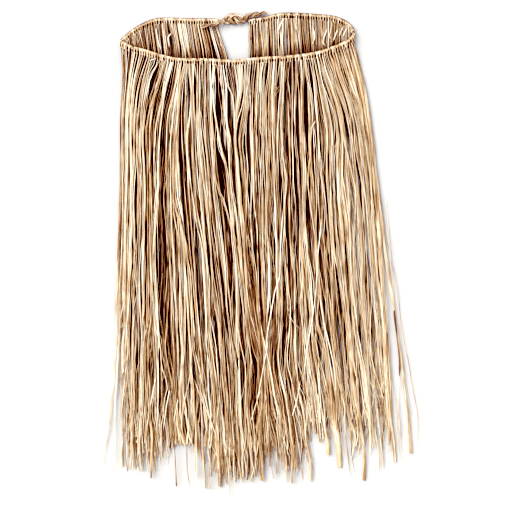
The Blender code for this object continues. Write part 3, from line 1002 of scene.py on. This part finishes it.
    def section(self, drop, to_tip, cut):
        """The outline: narrow at the neck, curled and rolled on the way, cut or torn at the tip."""
        chance = self.chance
        wide = self.width[:, None] * (1.0 + waves(chance, drop, *WIDTH_WAVE))
        full = np.minimum(wide, NECK_WIDTH)
        grow = np.where(self.inner, 0.025, self.each(*WIDENING))
        torn = np.where(self.given | cut, 1.0, 0.75 + 0.25 * ease(to_tip / 0.22))
        full = full + (wide * torn - full) * ease(drop / grow)
        point = np.clip(to_tip / self.each(*POINT_LENGTHS), 0.12, 1.0)
        full = full * np.where(self.pointed[:, None], point, 1.0)
        curl = self.each(*CURLS) + waves(chance, drop, *CURL_WAVE)
        curl = curl * (0.55 + 0.45 * ease(to_tip / 0.12))
        fold = np.where(self.some(FOLDED_SHARE), self.each(*FOLDS), 0.0)
        fold = fold * (0.75 + waves(chance, drop, *FOLD_WAVE))
        roll = chance.normal(*ROLLS, (self.count, 1)) + waves(chance, drop, *ROLL_WAVE)
        for _ in range(HALF_TURNS):
            turned = np.where(self.some(HALF_TURN_SHARE) & ~self.given, np.pi, 0.0)
            place = self.each(*HALF_TURN_DROPS)
            roll = roll + turned * ease((drop - place) / self.each(*HALF_TURN_LENGTHS))
        return ribbon_section(full, curl, fold, roll * ease(drop / 0.03), self.thickness)

    def shades(self, x, y, drop, to_tip):
        """What strands carry: paler at tips and in some lanes, painted shade in the waist, even on the
        right.
        """
        inner, rounded = self.inner, self.lie.rounded
        tint = self.tint[:, None] + np.where(inner, INNER_TIP_PALER, 0.0) * fade(to_tip, 0.26)
        tint = tint + TIP_PALER * fade(to_tip, 0.14)
        change = (self.paler_tip - self.paler)[:, None]
        paler = self.paler[:, None] + change * ease((drop - 0.14) / 0.30)
        tint = tint + paler * (0.4 + 0.6 * ease(drop / 0.12)) * (0.4 + 0.6 * ease(to_tip / 0.13))
        # Painted shade on the inner strands just below the waist cord.
        tint = tint - np.where(inner, INNER_WAIST_SHADE * rounded, 0.0) * fade(drop, 0.10)
        tint = tint + np.where(inner, 0.0, UPPER_WAIST_PALER * rounded) * fade(drop, 0.10)
        seed = self.chance.random((self.count, 1))
        # Painted shade on the back: darker inside the waist under the front, and in a line along the front
        # cord as its shadow.
        opening_shade, cord_shadow = self.lie.shaded
        tint = tint - opening_shade * ease((0.385 - y) / 0.045) * ease((y - 0.10) / 0.15)
        waist = np.interp(x, *np.array(FRONT_ROUTE)[:, :2].T)
        cord_shadow_mask = ease((waist + 0.0070 - y) / 0.005) * ease((y - waist + 0.06) / 0.03)
        tint = tint - cord_shadow * cord_shadow_mask
        # Dry tips, browner or on some paler; only the hitches' loops carry painted shade in this attribute.
        dryness = fade(to_tip, 0.10) * self.each(*DRY_TIPS)
        calm = rounded * np.maximum(1.2 * ease((x - 0.065) / 0.08), 0.63 * fade(to_tip, 0.16))
        tint = tint + calm * (np.where(inner, *CALM_TINTS) - tint)
        golden = self.each(*GOLDENS) + 0.12 * fade(to_tip, 0.30) + 0.05 * ease((x - 0.10) / 0.08)
        golden = golden * np.clip(1.25 - 0.85 * tint, 0.2, 1.2)
        return attributes(drop.shape[1], tint, seed, dryness, golden)


def strays(name, rows, lie, sizes, chance, leaders=None, waist_y=0.0):
    """Single strands that lie over all the others, each through its own points.

    With leaders they lie lower at the fringe's side edges, as the strands below them do.
    """
    rings = 26
    share = np.tile(np.linspace(0.0, 1.0, rings), (len(rows), 1))
    widths, tints = np.array([row[:2] for row in rows]).T[:, :, None]
    lines = [Line([(x, y, 0.0) for x, y in points]) for _, _, points in rows]
    lengths = np.array([line.length for line in lines])[:, None]
    centres = np.stack([line.at(distance) for line, distance in zip(lines, share * lengths)])
    x, y = centres[..., 0], centres[..., 1]
    ends = np.minimum(share, 1.0 - share)
    height = lie.height(lie.levels + 0.5, y)
    if leaders:
        drop = np.maximum(waist_y - y, 0.0)
        low, high = leaders.edges(drop)
        edge = ease(np.minimum(x - low, high - x) / EDGE_REACH)
        height = height * (1.0 - lie.rounded * (1.0 - edge))
    centres[..., 2] = height - 0.0030 * (1.0 - ease(ends / 0.2))
    side, upper = frames_along(centres)
    flat = np.zeros_like(share)
    roll = waves(chance, share, 0.3, 1.0)
    width = widths * np.clip(ends / 0.15, 0.22, 1.0)
    section = ribbon_section(width, flat + 0.9, flat, roll, sizes.strand_thickness)
    shades = attributes(rings, tints, chance.random((len(rows), 1)))
    along = share * lengths + chance.uniform(0, ANY_PLACE, (len(rows), 1))
    return sweep(name, centres, side, upper, section, along, shades)


def hitch_places(start, end, pitch, chance):
    """How far along a cord the hitches sit, a little uneven."""
    count = int(round((end - start) / pitch))
    middle = start + (np.arange(count) + 0.5) * (end - start) / count
    return middle + chance.uniform(-0.12, 0.12, count) * pitch


# ---------------------------------------------------------------- hitches and cords

CORE = 0.0030  # the waist cord without the turns of the hitches
LOOP_PATH = [  # across the cord: below its middle, above it, width in shares of the pitch, and painted shade
    (0.0086, 0.0004, 0.52, 0.0),
    (0.0058, 0.0012, 0.52, 0.0),
    (0.0036, 0.0018, 0.56, 0.0),
    (0.0016, 0.0022, 0.90, 0.0),
    (-0.0006, 0.0022, 1.12, 0.0),
    (-0.0018, 0.0014, 1.12, 1.0),
    (-0.0023, -0.0004, 1.12, 1.6),
    (-0.0012, -0.0018, 1.12, 1.3),
    (0.0012, -0.0024, 1.12, 1.6),
    (0.0042, -0.0030, 1.05, 1.6),
    (0.0080, -0.0034, 0.80, 1.6),
]
BAR_PATH = [  # over a hitch's neck, along the cord and above it, in shares of the pitch and in metres
    (-0.50, 0.0010),
    (-0.34, 0.0020),
    (-0.12, 0.0026),
    (0.12, 0.0026),
    (0.34, 0.0020),
    (0.50, 0.0010),
]
BAR_BELOW = 0.0019
BAR_WIDTH = 0.0015
HITCH_THICKNESS = 0.0005
LEG_BELOW = 0.0030  # further below the cord than this, a loop runs the way that the strands do
UNDERSIDE = -0.001  # the part of a loop that is under the cord is below this


def hitch_frames(line, places):
    along = line.along(places)
    return line.at(places), along, *beside(along)


def ribbon_frames(centres, across):
    """The side and the upper direction at each ring of ribbons that lie across something."""
    side = np.broadcast_to(across[:, None], centres.shape)
    way = unit(np.gradient(centres, axis=1))
    upper = unit(np.cross(side, way))
    return np.cross(way, upper), upper


def loops(name, line, places, sizes, chance, tint, outer_shade):
    """The turn that each hitch takes round the cord, with painted shade; a factor scales it on the upper
    side.
    """
    middle, along, below, over = hitch_frames(line, places)
    down, up, wide, loop_shade = np.array(LOOP_PATH).T
    n, rings = len(places), len(down)
    across = ease(np.abs(along[:, :1, None]) / 0.7)  # less where the cord turns at a corner
    stretch = chance.uniform(0.93, 1.07, (n, 1, 1)) * (0.62 + 0.38 * across)
    leg = np.maximum(down - LEG_BELOW, 0.0)[:, None]
    turn = (down[:, None] - leg) * below[:, None] + leg * below_cord(line, places)[:, None]
    centres = middle[:, None] + stretch * (turn + up[:, None] * over[:, None])
    lean = chance.normal(0.0, 0.0004, (n, 1))
    centres = centres + (lean * np.linspace(-1, 1, rings)[None, :])[..., None] * along[:, None]
    side, upper = ribbon_frames(centres, along)
    width = sizes.hitch_pitch * wide * chance.uniform(0.92, 1.06, (n, 1))
    flat = np.zeros((n, rings))
    section = ribbon_section(width, flat + 0.16, flat, flat, HITCH_THICKNESS)
    tints = np.clip(chance.normal(tint, 0.13, (n, 1)), 0, 1)
    # Painted shade: the loop is darker under the cord, and at its outer edge as far as the factor says.
    dryness = loop_shade * np.where(up > UNDERSIDE, outer_shade, 1.0)
    shades = attributes(rings, tints, chance.random((n, 1)), dryness)
    uv = np.linspace(0.0, 0.03, rings)[None, :] + chance.uniform(0, ANY_PLACE, (n, 1))
    return sweep(name, centres, side, upper, section, uv, shades)


def bars(name, line, places, sizes, chance, tint):
    """The bar that lies over each hitch's neck."""
    middle, along, below, over = hitch_frames(line, places)
    shape = np.array(BAR_PATH)
    n, rings = len(places), len(shape)
    low = BAR_BELOW + chance.normal(0.0, 0.0002, (n, 1, 1))
    centres = middle[:, None] + low * below[:, None]
    centres = centres + sizes.hitch_pitch * shape[:, :1] * along[:, None] + shape[:, 1:] * over[:, None]
    side, upper = ribbon_frames(centres, below)
    flat = np.zeros((n, rings))
    section = ribbon_section(flat + BAR_WIDTH, flat + 0.7, flat, flat, HITCH_THICKNESS)
    tints = np.clip(chance.normal(tint, 0.14, (n, 1)), 0, 1)
    shades = attributes(rings, tints, chance.random((n, 1)))
    uv = np.linspace(0.0, 0.006, rings)[None, :] + chance.uniform(0, ANY_PLACE, (n, 1))
    return sweep(name, centres, side, upper, section, uv, shades)


def loose_fibres(name, line, radius, count, chance, tint):
    """Fibres that have worked loose and wander along a cord, close to it."""
    rings = 18
    start = chance.uniform(0.0, 0.75, (count, 1)) * line.length
    distance = start + np.linspace(0.0, 1.0, rings)[None, :] * chance.uniform(0.018, 0.035, (count, 1))
    distance = np.minimum(distance, line.length)
    side, over = beside(line.along(distance))
    angle = chance.uniform(0.0, ANY_TURN, (count, 1))
    angle = angle + distance * chance.uniform(100.0, 260.0, (count, 1))
    out = radius * (1.0 + 0.25 * np.sin(distance * 310.0 + chance.uniform(0.0, ANY_TURN, (count, 1))))
    aside, above = (out * np.cos(angle))[..., None], (out * np.sin(angle))[..., None]
    centres = line.at(distance) + aside * side + above * over
    centres[..., 2] = np.maximum(centres[..., 2], 4 * SURFACE_GAP)
    centres = centres + np.linspace(0.0, 1e-5, rings)[None, :, None]
    across, upper = frames_along(centres)
    flat = np.zeros((count, rings))
    width = chance.uniform(0.0006, 0.0014, (count, 1)) + flat
    section = ribbon_section(width, flat + 0.8, flat, flat, 0.0003)
    tints = np.clip(chance.normal(tint, 0.25, (count, 1)), 0.0, 1.0)
    shades = attributes(rings, tints, chance.random((count, 1)))
    return sweep(name, centres, across, upper, section, distance, shades)


def twisted_cord(name, line, width, lay, chance, plies=3, step=0.0016, tint=0.6):
    """A cord of plies laid round each other, one turn in each lay."""
    rings = int(line.length / step) + 1
    distance = np.linspace(0.0, line.length, rings)
    middle = line.at(distance)
    side, over = beside(line.along(distance))
    ply = width * (0.27 if plies == 2 else 0.30)  # a ply's radius
    turn = 2 * np.pi * distance / lay
    centres = []
    for part in np.arange(plies) * 2 * np.pi / plies:
        c, s = np.cos(turn + part)[:, None], np.sin(turn + part)[:, None]
        centres.append(middle + (width / 2 - ply) * (c * side + s * over))
    centres = np.stack(centres)
    sides = np.broadcast_to(side, centres.shape)
    overs = np.broadcast_to(over, centres.shape)
    tints = tint + chance.uniform(-0.15, 0.15, (plies, 1))
    shades = attributes(rings, tints, chance.random((plies, 1)))
    uv = np.broadcast_to(distance, (plies, rings))
    return sweep(name, centres, sides, overs, round_section(ply, plies, rings), uv, shades)


# ---------------------------------------------------------------- materials

STREAK_SWING = 0.42  # how much streaks change a tint
BLOTCH_SWING = 0.18
# How much dry tips and painted shade darken a tint.
DRYNESS_AND_SHADE_SWING = -0.30
TINT_RAMP = (0.06, 0.50, 0.95)  # the tints that are brown, tan and pale
SEED_DEPTH = 40.0  # how far apart in the noise two strands can be
STREAKS_ALONG = 16.0  # in a metre


def add_node(tree, kind, inputs, **settings):
    """Adds a node and gives its outputs. Each input is a value, or the output that it is linked to."""
    made = tree.nodes.new(kind)
    for name, value in settings.items():
        setattr(made, name, value)
    for place, value in inputs.items():
        if isinstance(value, bpy.types.NodeSocket):
            tree.links.new(value, made.inputs[place])
        else:
            made.inputs[place].default_value = value
    return made.outputs


def add_math(tree, operation, *values):
    return add_node(tree, "ShaderNodeMath", dict(enumerate(values)), operation=operation)[0]


def add_swing(tree, value, low, high, most):
    """A value between low and high, made to swing round 0."""
    span = {"Value": value, "From Min": low, "From Max": high, "To Min": -most, "To Max": most}
    return add_node(tree, "ShaderNodeMapRange", span)[0]


def fibre_group():
    """Streaks along a strand, and blotches on it, from a surface's own across and along."""
    group = bpy.data.node_groups.new("Raffia Fibres", "ShaderNodeTree")
    group.interface.new_socket("Surface", in_out="INPUT", socket_type="NodeSocketVector")
    group.interface.new_socket("Seed", in_out="INPUT", socket_type="NodeSocketFloat")
    for name, value in (("Streaks Across", 4.0), ("Blotches Along", 34.0)):
        socket = group.interface.new_socket(name, in_out="INPUT", socket_type="NodeSocketFloat")
        socket.default_value = value
    for name in ("Streaks", "Blotches"):
        group.interface.new_socket(name, in_out="OUTPUT", socket_type="NodeSocketFloat")
    entry = add_node(group, "NodeGroupInput", {})
    split = add_node(group, "ShaderNodeSeparateXYZ", {0: entry["Surface"]})
    depth = add_math(group, "MULTIPLY", entry["Seed"], SEED_DEPTH)

    across = add_math(group, "MULTIPLY", split["X"], entry["Streaks Across"])
    along = add_math(group, "MULTIPLY", split["Y"], STREAKS_ALONG)
    place = add_node(group, "ShaderNodeCombineXYZ", {"X": across, "Y": along, "Z": depth})[0]
    noise = {"Vector": place, "Scale": 1.0, "Detail": 3.0, "Roughness": 0.65}
    streaks = add_node(group, "ShaderNodeTexNoise", noise)["Fac"]

    wide = add_math(group, "MULTIPLY", split["Y"], entry["Blotches Along"])
    place = add_node(group, "ShaderNodeCombineXYZ", {"X": split["X"], "Y": wide, "Z": depth})[0]
    noise = {"Vector": place, "Scale": 1.0, "Detail": 2.0}
    blotches = add_node(group, "ShaderNodeTexNoise", noise)["Fac"]
    add_node(group, "NodeGroupOutput", {"Streaks": streaks, "Blotches": blotches})
    return group


def raffia_material(name, colours, streaks, roughness):
    """Raffia: each strand has its own tint, with streaks, blotches, a browner tip and painted shade on
    hitches.
    """
    made = bpy.data.materials.get(name)
    if made:
        return made
    group = bpy.data.node_groups.get("Raffia Fibres") or fibre_group()
    made = bpy.data.materials.new(name)
    made.use_nodes = True
    tree = made.node_tree
    surface = add_node(tree, "ShaderNodeUVMap", {}, uv_map="UVMap")[0]
    tint, seed, dryness, golden = (
        add_node(tree, "ShaderNodeAttribute", {}, attribute_name=carried)["Fac"] for carried in ATTRIBUTES
    )
    inputs = {"Surface": surface, "Seed": seed, "Streaks Across": streaks}
    fibres = add_node(tree, "ShaderNodeGroup", inputs, node_tree=group)

    tint = add_math(tree, "ADD", tint, add_swing(tree, fibres["Streaks"], 0.25, 0.75, STREAK_SWING))
    tint = add_math(tree, "ADD", tint, add_swing(tree, fibres["Blotches"], 0.3, 0.7, BLOTCH_SWING))
    # Dry tips and the hitches' painted shade make the tint browner.
    tint = add_math(tree, "MULTIPLY_ADD", dryness, DRYNESS_AND_SHADE_SWING, tint)
    ramp = add_node(tree, "ShaderNodeValToRGB", {"Fac": tint})["Color"]
    brown, pale = ramp.node.color_ramp.elements
    brown.position, tan_at, pale.position = TINT_RAMP
    brown.color, pale.color = (*colours.brown, 1.0), (*colours.pale, 1.0)
    ramp.node.color_ramp.elements.new(tan_at).color = (*colours.tan, 1.0)
    gild = {0: golden, 6: ramp, 7: (*colours.golden, 1.0)}
    colour = add_node(tree, "ShaderNodeMix", gild, data_type="RGBA", blend_type="MULTIPLY")[2]

    gloss = {"Value": fibres["Streaks"], "To Min": roughness - 0.08, "To Max": roughness + 0.10}
    relief = {"Height": fibres["Streaks"], "Strength": 0.5, "Distance": 0.00025}
    shader = tree.nodes["Principled BSDF"].inputs
    shader["Specular IOR Level"].default_value = 0.4
    tree.links.new(colour, shader["Base Color"])
    tree.links.new(add_node(tree, "ShaderNodeMapRange", gloss)[0], shader["Roughness"])
    tree.links.new(add_node(tree, "ShaderNodeBump", relief)[0], shader["Normal"])
    return made


def floor_material(colour):
    made = bpy.data.materials.new("White Paper")
    made.use_nodes = True
    shader = made.node_tree.nodes["Principled BSDF"]
    shader.inputs["Base Color"].default_value = (*colour, 1.0)
    shader.inputs["Roughness"].default_value = 0.9
    shader.inputs["Specular IOR Level"].default_value = 0.1
    return made


# ---------------------------------------------------------------- operators


def settle(made, material, slot, *nodes):
    """Gives a piece its material, hangs it under the root, and hides the imported parts that it stands for.
    """
    made.data.materials.append(material)
    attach(made, "root")
    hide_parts(*nodes)


# Waves that a level's strands share. Columns: size, and the turn in radians over a metre across, over a
# metre down and from one level to the next.
FRONT_WAVES = [(0.0006, 55.0, 16.0, 2.1), (0.0010, 31.0, -9.0, 1.3)]
BACK_WAVES = [(0.0010, 60.0, 14.0, 1.7), (0.0016, 33.0, -8.0, 2.9)]
FRONT_PARTS = (-0.240, -0.140, -0.060, 0.010, 0.085, 0.20)  # x at the waist where a piece of fringe ends
FRONT_RINGS = 46
BACK_RINGS = 30
# The sides are thinner. Shares of the inner and of the upper strands that are left out there.
THIN_RIGHT = (0.76, 0.42)
THIN_RIGHT_EDGE = (0.16, 0.26)
THIN_LEFT = (0.80, 0.40)
THIN_CORNERS = 0.5
CORNER_X = (-0.2310, 0.1500)
THIN_BACK_SIDES = 0.6
SHORT_KEPT = 0.7  # the share of the inner ones left out that are there after all, but end early
FRONT_SHORT_TIPS = (0.06, 0.22)  # y of their tips
BACK_SHORT_TIPS = (0.20, 0.29)
SHORT_TINT = -0.30
SIDE_TINT = 0.40  # added to the inner ones at the sides, where light comes in
BACK_TINTS = (-0.06, 0.15)  # added to the inner ones and to the upper ones
BACK_NARROWER = 0.85


def add_hitches(name, line, places, sizes, chance, tint, outer_shade, *settled):
    settle(loops(f"{name}_loops", line, places, sizes, chance, tint, outer_shade), *settled)
    settle(bars(f"{name}_bars", line, places, sizes, chance, tint), *settled)


def sides(lanes, right_from):
    """How far each lane lies into the fringe's left side and into its right one, from 0 to 1."""
    return ease((-0.185 - lanes) / 0.040), ease((lanes - right_from) / 0.060)


class SKIRT_OT_front_fringe(bpy.types.Operator):
    """Makes the front's hitches and strands"""

    bl_idname = "skirt.front_fringe"
    bl_label = "Front Fringe"

    def execute(self, context):
        sizes, colours = context.scene.skirt_sizes, context.scene.skirt_colours
        chance = np.random.default_rng(11)
        raffia = raffia_material("Raffia, Front", colours, 4.0, 0.50)
        bound = raffia_material("Raffia, Hitches", colours, 5.0, 0.55)
        line = Line(LEFT_CORNER[1:] + FRONT_ROUTE + RIGHT_CORNER[:1])
        places = hitch_places(0.0, line.length, sizes.hitch_pitch, chance)
        settled = (bound, "raffia_front", "fringe_front")
        # Little painted shade on the outer edge of the front's loops.
        add_hitches("hitches_front", line, places, sizes, chance, 0.55, 0.3, *settled)
        leaders = Leaders(FRONT_LEADERS, FRONT_DROPS)
        strands = Strands(line, leaders, FRONT_LIE, chance, sizes, places)
        n, inner = strands.count, FRONT_LIE.is_inner(strands.level)
        lanes, at_waist, at_hem = np.array(FRONT_PALER).T
        strands.paler = np.interp(strands.lane, lanes, at_waist)
        strands.paler_tip = np.interp(strands.lane, lanes, at_hem)
        left, right = sides(strands.lane, 0.080)
        edge = ease((strands.lane - 0.128) / 0.016)
        corner = (strands.root[:, 0] < CORNER_X[0]) | (strands.root[:, 0] > CORNER_X[1])
        strands.tint = strands.tint + np.where(inner, SIDE_TINT * np.maximum(0.4 * left, right), 0.0)
        left_out = np.where(inner, *THIN_RIGHT) * right + np.where(inner, *THIN_RIGHT_EDGE) * edge
        kept = chance.random(n) > left_out
        kept &= chance.random(n) > np.where(inner, *THIN_LEFT) * left
        kept &= chance.random(n) > THIN_CORNERS * corner
        short = inner & ~kept
        strands.tip_y = np.where(short, chance.uniform(*FRONT_SHORT_TIPS, n), strands.tip_y)
        strands.pointed = strands.pointed | short
        strands.tint = np.where(short, strands.tint + SHORT_TINT, strands.tint)
        strands = strands.pick(kept | (short & (chance.random(n) < SHORT_KEPT)))
        strands.add_long(LONG_STRANDS, line, places)
        bundles = Gather(FRONT_PARTS[0], FRONT_PARTS[-1], chance, FRONT_LIE, (0.1, 0.6))
        for part, (low, high) in enumerate(zip(FRONT_PARTS, FRONT_PARTS[1:]), 1):
            chosen = (strands.root[:, 0] >= low) & (strands.root[:, 0] < high)
            made = strands.pick(chosen).mesh(f"fringe_front_{part}", FRONT_RINGS, bundles, FRONT_WAVES)
            settle(made, raffia, "raffia_front", "fringe_front")
        waist_y = FRONT_ROUTE[0][1]
        made = strays("strays_front", FRONT_STRAYS, FRONT_LIE, sizes, chance, leaders, waist_y)
        settle(made, raffia, "raffia_front", "fringe_front")
        return {"FINISHED"}


class SKIRT_OT_back_fringe(bpy.types.Operator):
    """Makes the hitches and strands of the back's two halves"""

    bl_idname = "skirt.back_fringe"
    bl_label = "Back Fringe"

    def execute(self, context):
        sizes, colours = context.scene.skirt_sizes, context.scene.skirt_colours
        raffia = raffia_material("Raffia, Back", colours, 4.0, 0.52)
        bound = raffia_material("Raffia, Hitches", colours, 5.0, 0.55)
        halves = [
            ("left", LEFT_CORNER[1::-1] + BACK_LEFT_ROUTE[::-1], BACK_LEFT_LEADERS, (0.0, 0.006), 23),
            ("right", BACK_RIGHT_ROUTE[::-1] + RIGHT_CORNER[::-1], BACK_RIGHT_LEADERS, (0.002, 0.0), 37),
        ]
        for half, route, rows, ends, seed in halves:
            chance = np.random.default_rng(seed)
            line = Line(route)
            node = f"fringe_back_{half}"
            places = hitch_places(ends[0], line.length - ends[1], sizes.hitch_pitch, chance)
            settled = (bound, "raffia_back", node)
            # Strong painted shade on the outer edge of the back's loops.
            add_hitches(f"hitches_back_{half}", line, places, sizes, chance, 0.52, 2.0, *settled)
            strands = Strands(line, Leaders(rows, BACK_DROPS), BACK_LIE, chance, sizes, places)
            strands.tint = strands.tint + np.where(BACK_LIE.is_inner(strands.level), *BACK_TINTS)
            strands.width = BACK_NARROWER * strands.width
            side = np.maximum(*sides(strands.lane, 0.070))
            short = chance.random(strands.count) < THIN_BACK_SIDES * side
            early = chance.uniform(*BACK_SHORT_TIPS, strands.count)
            strands.tip_y = np.where(short, early, strands.tip_y)
            bundles = Gather(rows[0][0], rows[-1][0], chance, BACK_LIE, (0.55, 1.0))
            made = strands.mesh(f"{node}_strands", BACK_RINGS, bundles, BACK_WAVES)
            settle(made, raffia, "raffia_back", node)
            mine = [row for row in BACK_STRAYS if (row[2][0][0] > KNOT_ENDS[1]) == (half == "right")]
            made = strays(f"strays_back_{half}", mine, BACK_LIE, sizes, chance)
            settle(made, raffia, "raffia_back", node)
        return {"FINISHED"}


class SKIRT_OT_waist_cord(bpy.types.Operator):
    """Makes the two-ply cord round the waist"""

    bl_idname = "skirt.waist_cord"
    bl_label = "Waist Cord"

    def execute(self, context):
        chance = np.random.default_rng(5)
        twine = raffia_material("Raffia, Twine", context.scene.skirt_colours, 4.0, 0.6)
        made = twisted_cord("waist_cord_plies", Line(WAIST_ROUTE), CORE, 0.014, chance, 2, tint=0.35)
        settle(made, twine, "cord", "waist_cord")
        return {"FINISHED"}


def knot_route(first_angle):
    """One cord's way through the half knot, from left to right, which is widest in the middle."""
    steps = 14
    route = []
    for step in range(steps + 1):
        share = step / steps
        angle = first_angle + KNOT_HALF_TURNS * math.pi * share
        swell = math.sin(math.pi * share)
        across = KNOT_TIGHT + (KNOT_LOOSE[0] - KNOT_TIGHT) * swell
        upward = KNOT_TIGHT + (KNOT_LOOSE[1] - KNOT_TIGHT) * swell
        x = KNOT_ENDS[0] + (KNOT_ENDS[1] - KNOT_ENDS[0]) * share
        y = KNOT_MIDDLE[0] + across * math.cos(angle)
        route.append((x, y, KNOT_MIDDLE[1] + upward * math.sin(angle)))
    return route


TIE_WIDTH = 0.0048  # over its loose fibres


class SKIRT_OT_ties(bpy.types.Operator):
    """Makes the waist cord's two ends, wound round each other in a half knot"""

    bl_idname = "skirt.ties"
    bl_label = "Ties"

    def execute(self, context):
        twine = raffia_material("Raffia, Twine", context.scene.skirt_colours, 4.0, 0.6)
        ends = [
            ("tie_from_left", WAIST_ROUTE[0], knot_route(-math.pi / 2) + FREE_END_RIGHT),
            ("tie_from_right", WAIST_ROUTE[-1], knot_route(math.pi / 2)[::-1] + FREE_END_LEFT),
        ]
        for name, exit_point, route in ends:
            chance = np.random.default_rng(len(name))
            line = Line([exit_point] + route, 6)
            made = twisted_cord(f"{name}_plies", line, TIE_WIDTH, 0.026, chance, step=0.0012, tint=0.26)
            settle(made, twine, "cord", name)
            fibres = loose_fibres(f"{name}_fibres", line, 0.60 * TIE_WIDTH, 44, chance, 0.42)
            settle(fibres, twine, "cord", name)
        sizes = context.scene.skirt_sizes
        wraps = strays("knot_wraps", KNOT_WRAPS, KNOT_LIE, sizes, np.random.default_rng(3))
        settle(wraps, twine, "cord", "tie_from_left")
        return {"FINISHED"}


VIEW_WIDTH = 0.867  # of the surface that the camera sees
VIEW_MIDDLE = (-0.0102, 0.0009)
CAMERA_HEIGHT = 3.0
FLOOR_SIZE = 9.0
KEY_FROM = (-0.55, 0.30, 0.78)
KEY_STRENGTH = 3.45
KEY_ANGLE = 54.0  # degrees across, as a large softbox close by
SKY_STRENGTH = 0.93
BLACK_LEVEL = (0.160, 0.125, 0.090)
WHITE_LEVEL = (0.92, 0.92, 0.92)
DARKEST = (0.0075, 0.0006, 0.0003)  # red, green and blue of the deepest shadow
SHADOW_TONES = [  # red, green and blue: what a dark value becomes, so that shadows are warm
    [],
    [(0.022, 0.017), (0.145, 0.102), (0.346, 0.328), (0.60, 0.60)],
    [(0.011, 0.005), (0.080, 0.045), (0.213, 0.190), (0.42, 0.42)],
]


class SKIRT_OT_stage(bpy.types.Operator):
    """Makes the pale floor, the lights and the camera over the skirt"""

    bl_idname = "skirt.stage"
    bl_label = "Stage"

    def execute(self, context):
        scene = context.scene
        bm = bmesh.new()
        bmesh.ops.create_grid(bm, x_segments=1, y_segments=1, size=FLOOR_SIZE / 2)
        mesh = bpy.data.meshes.new("floor")
        bm.to_mesh(mesh)
        bm.free()
        floor = add_object("floor", mesh)
        floor.data.materials.append(floor_material(scene.skirt_colours.floor))

        lens = bpy.data.cameras.new("camera")
        lens.sensor_width = 36.0
        lens.lens = lens.sensor_width * CAMERA_HEIGHT / VIEW_WIDTH
        scene.camera = add_object("camera", lens)
        scene.camera.location = (*VIEW_MIDDLE, CAMERA_HEIGHT)

        key = bpy.data.lights.new("key", "SUN")
        key.energy = KEY_STRENGTH
        key.angle = math.radians(KEY_ANGLE)
        add_object("key", key).rotation_euler = Vector(KEY_FROM).to_track_quat("Z", "Y").to_euler()

        world = bpy.data.worlds.new("studio")
        world.use_nodes = True
        sky = world.node_tree.nodes["Background"]
        sky.inputs["Color"].default_value = (1.0, 0.995, 0.985, 1.0)
        sky.inputs["Strength"].default_value = SKY_STRENGTH
        scene.world = world
        scene.view_settings.view_transform = "Standard"
        scene.view_settings.look = "None"
        scene.view_settings.use_curve_mapping = True
        tone = scene.view_settings.curve_mapping
        tone.extend = "HORIZONTAL"
        tone.black_level = BLACK_LEVEL
        tone.white_level = WHITE_LEVEL
        for curve, darkest, tones in zip(tone.curves, DARKEST, SHADOW_TONES):
            curve.points[0].location = (0.0, darkest)
            for value, becomes in tones:
                curve.points.new(value, becomes)
        tone.update()
        return {"FINISHED"}


class SKIRT_PT_panel(bpy.types.Panel):
    """Lists the skirt's sizes, colours and pieces"""

    bl_idname = "SKIRT_PT_panel"
    bl_label = "Grass Skirt"
    bl_space_type = "VIEW_3D"
    bl_region_type = "UI"
    bl_category = "Grass Skirt"

    def draw(self, context):
        column = self.layout.column(align=True)
        for group in (context.scene.skirt_sizes, context.scene.skirt_colours):
            for name in group.__annotations__:
                column.prop(group, name)
        for operator in OPERATORS:
            column.operator(operator.bl_idname)


OPERATORS = (
    SKIRT_OT_stage,
    SKIRT_OT_ties,
    SKIRT_OT_waist_cord,
    SKIRT_OT_back_fringe,
    SKIRT_OT_front_fringe,
)
CLASSES = (GrassSkirtSizes, GrassSkirtColours, *OPERATORS, SKIRT_PT_panel)


def register():
    for made in CLASSES:
        bpy.utils.register_class(made)
    bpy.types.Scene.skirt_sizes = bpy.props.PointerProperty(type=GrassSkirtSizes)
    bpy.types.Scene.skirt_colours = bpy.props.PointerProperty(type=GrassSkirtColours)


def unregister():
    del bpy.types.Scene.skirt_colours
    del bpy.types.Scene.skirt_sizes
    for made in reversed(CLASSES):
        bpy.utils.unregister_class(made)


def main():
    register()
    bpy.ops.skirt.stage()
    bpy.ops.skirt.ties()
    bpy.ops.skirt.waist_cord()
    bpy.ops.skirt.back_fringe()
    bpy.ops.skirt.front_fringe()


if __name__ == "__main__":
    main()
